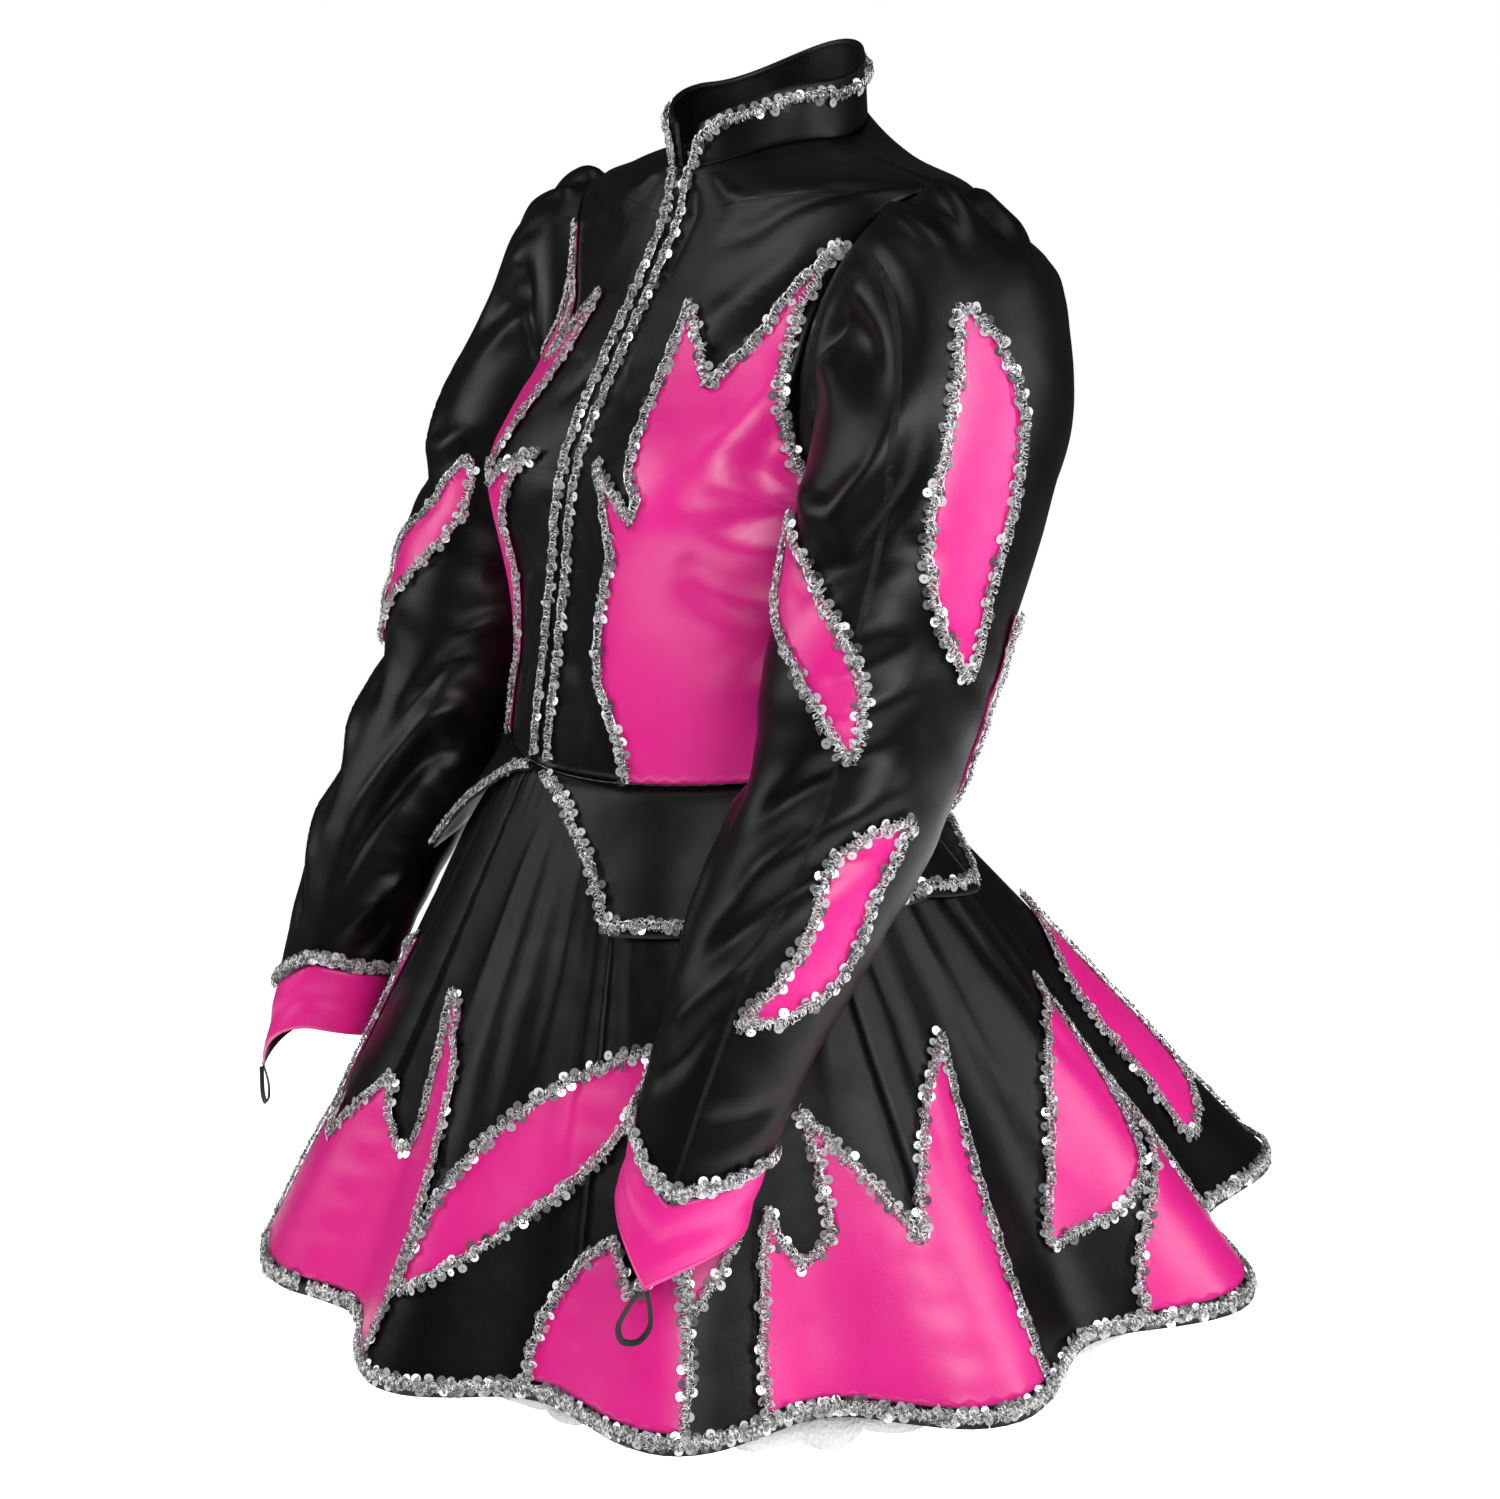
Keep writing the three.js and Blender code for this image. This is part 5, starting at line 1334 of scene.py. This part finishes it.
as_one("slider_lacquered", [crown, *cheeks, pin], "garment", "zip_slider")

bpy.ops.object.select_all(action="DESELECT")
bpy.ops.mesh.primitive_torus_add(
    major_radius=TAB["eye"] * MM, minor_radius=TAB["bar"] * MM, major_segments=32, minor_segments=12, **ON_PIN
)
eye = settled()
narrowed(eye, lambda at: True, TAB["width"] / 2 / TAB["bar"])
tab_height = TAB["top"] - TAB["low"]
tab_middle = TAB["low"] + tab_height / 2
tab = block((0, PIN["y"] - TAB["forward"], tab_middle), (TAB["width"], TAB["thick"], tab_height), TAB["round"])
narrowed(tab, lambda at: at.z > tab_middle, TAB["taper"])
for face in tab.data.polygons:
    face.select = abs(face.normal.y) > 0.9
bpy.ops.object.mode_set(mode="EDIT")
bpy.ops.mesh.select_mode(type="FACE")
bpy.ops.mesh.inset(thickness=TAB["hole"] * MM, depth=0)
bpy.ops.mesh.inset(thickness=TAB["slope"] * MM, depth=-TAB["well"] * MM)
bpy.ops.object.mode_set(mode="OBJECT")
as_one("pull_tab_lacquered", [eye, tab], "pull", "zip_pull")

# The finger loops: flat ribbed elastic, doubled and sewn under each cuff's point, to slip over the middle finger.
# Each hangs as the photo shows it, leaning a little and turned so that its flat side is seen.
LOOP = {
    "width": 3.6, "thick": 1.2, "drop": 30, "reach": 8, "start": 2.2, "below": 0.5, "lean": 0.25, "twist": 50,
    "points": 60, "sides": 10,
}
LOOP_ACROSS = {"left": (0.62, 0.78, 0), "right": (0.8, -0.6, 0)}
elastic = Finish("black_elastic", (0.010, 0.010, 0.011), 0.75)
elastic.paint({"Normal": elastic.bump(elastic.noise(elastic.place(), 1400.0), 0.0004)})
for side in SIDES:
    name = side["name"]
    tip_turn = np.array([float(CUFF["point"])])
    tip = sleeve_place(side)(tip_turn, cuff_end(tip_turn))[0]
    across = np.array(LOOP_ACROSS[name])
    start, below, drop, reach = (LOOP[key] for key in ("start", "below", "drop", "reach"))
    half = [(reach, drop * 0.7), (reach * 0.8, drop * 0.4), (start, below)]
    turn = [(-reach * 0.5, drop * 0.96), (reach * 0.5, drop * 0.96)]
    course = [(-aside, down) for aside, down in half[::-1]] + turn + half
    knots = np.array([
        tip + across * (aside - LOOP["lean"] * down) + np.array([0, 0, -down]) for aside, down in course
    ])
    line = on_curve(knots, np.linspace(0, 1, LOOP["points"]))
    forward = unit(np.gradient(line, axis=0))
    flat_way = unit(np.cross(across, [0, 0, 1.0]))
    face = cos_of(LOOP["twist"]) * flat_way + sin_of(LOOP["twist"]) * np.cross(forward, flat_way)
    ring = ring_of(LOOP["sides"], LOOP["width"] / 2 * face, LOOP["thick"] / 2 * np.cross(forward, face), 0.5)
    tube, faces = (line[:, None] + ring).reshape(-1, 3), capped_faces(len(line), LOOP["sides"])
    loop = piece(f"elastic_loop_{name}", tube, faces, elastic, [f"finger_loop_{name}"])
    tuple(line[0] * MM)
    [tuple(p) for p in line * MM]
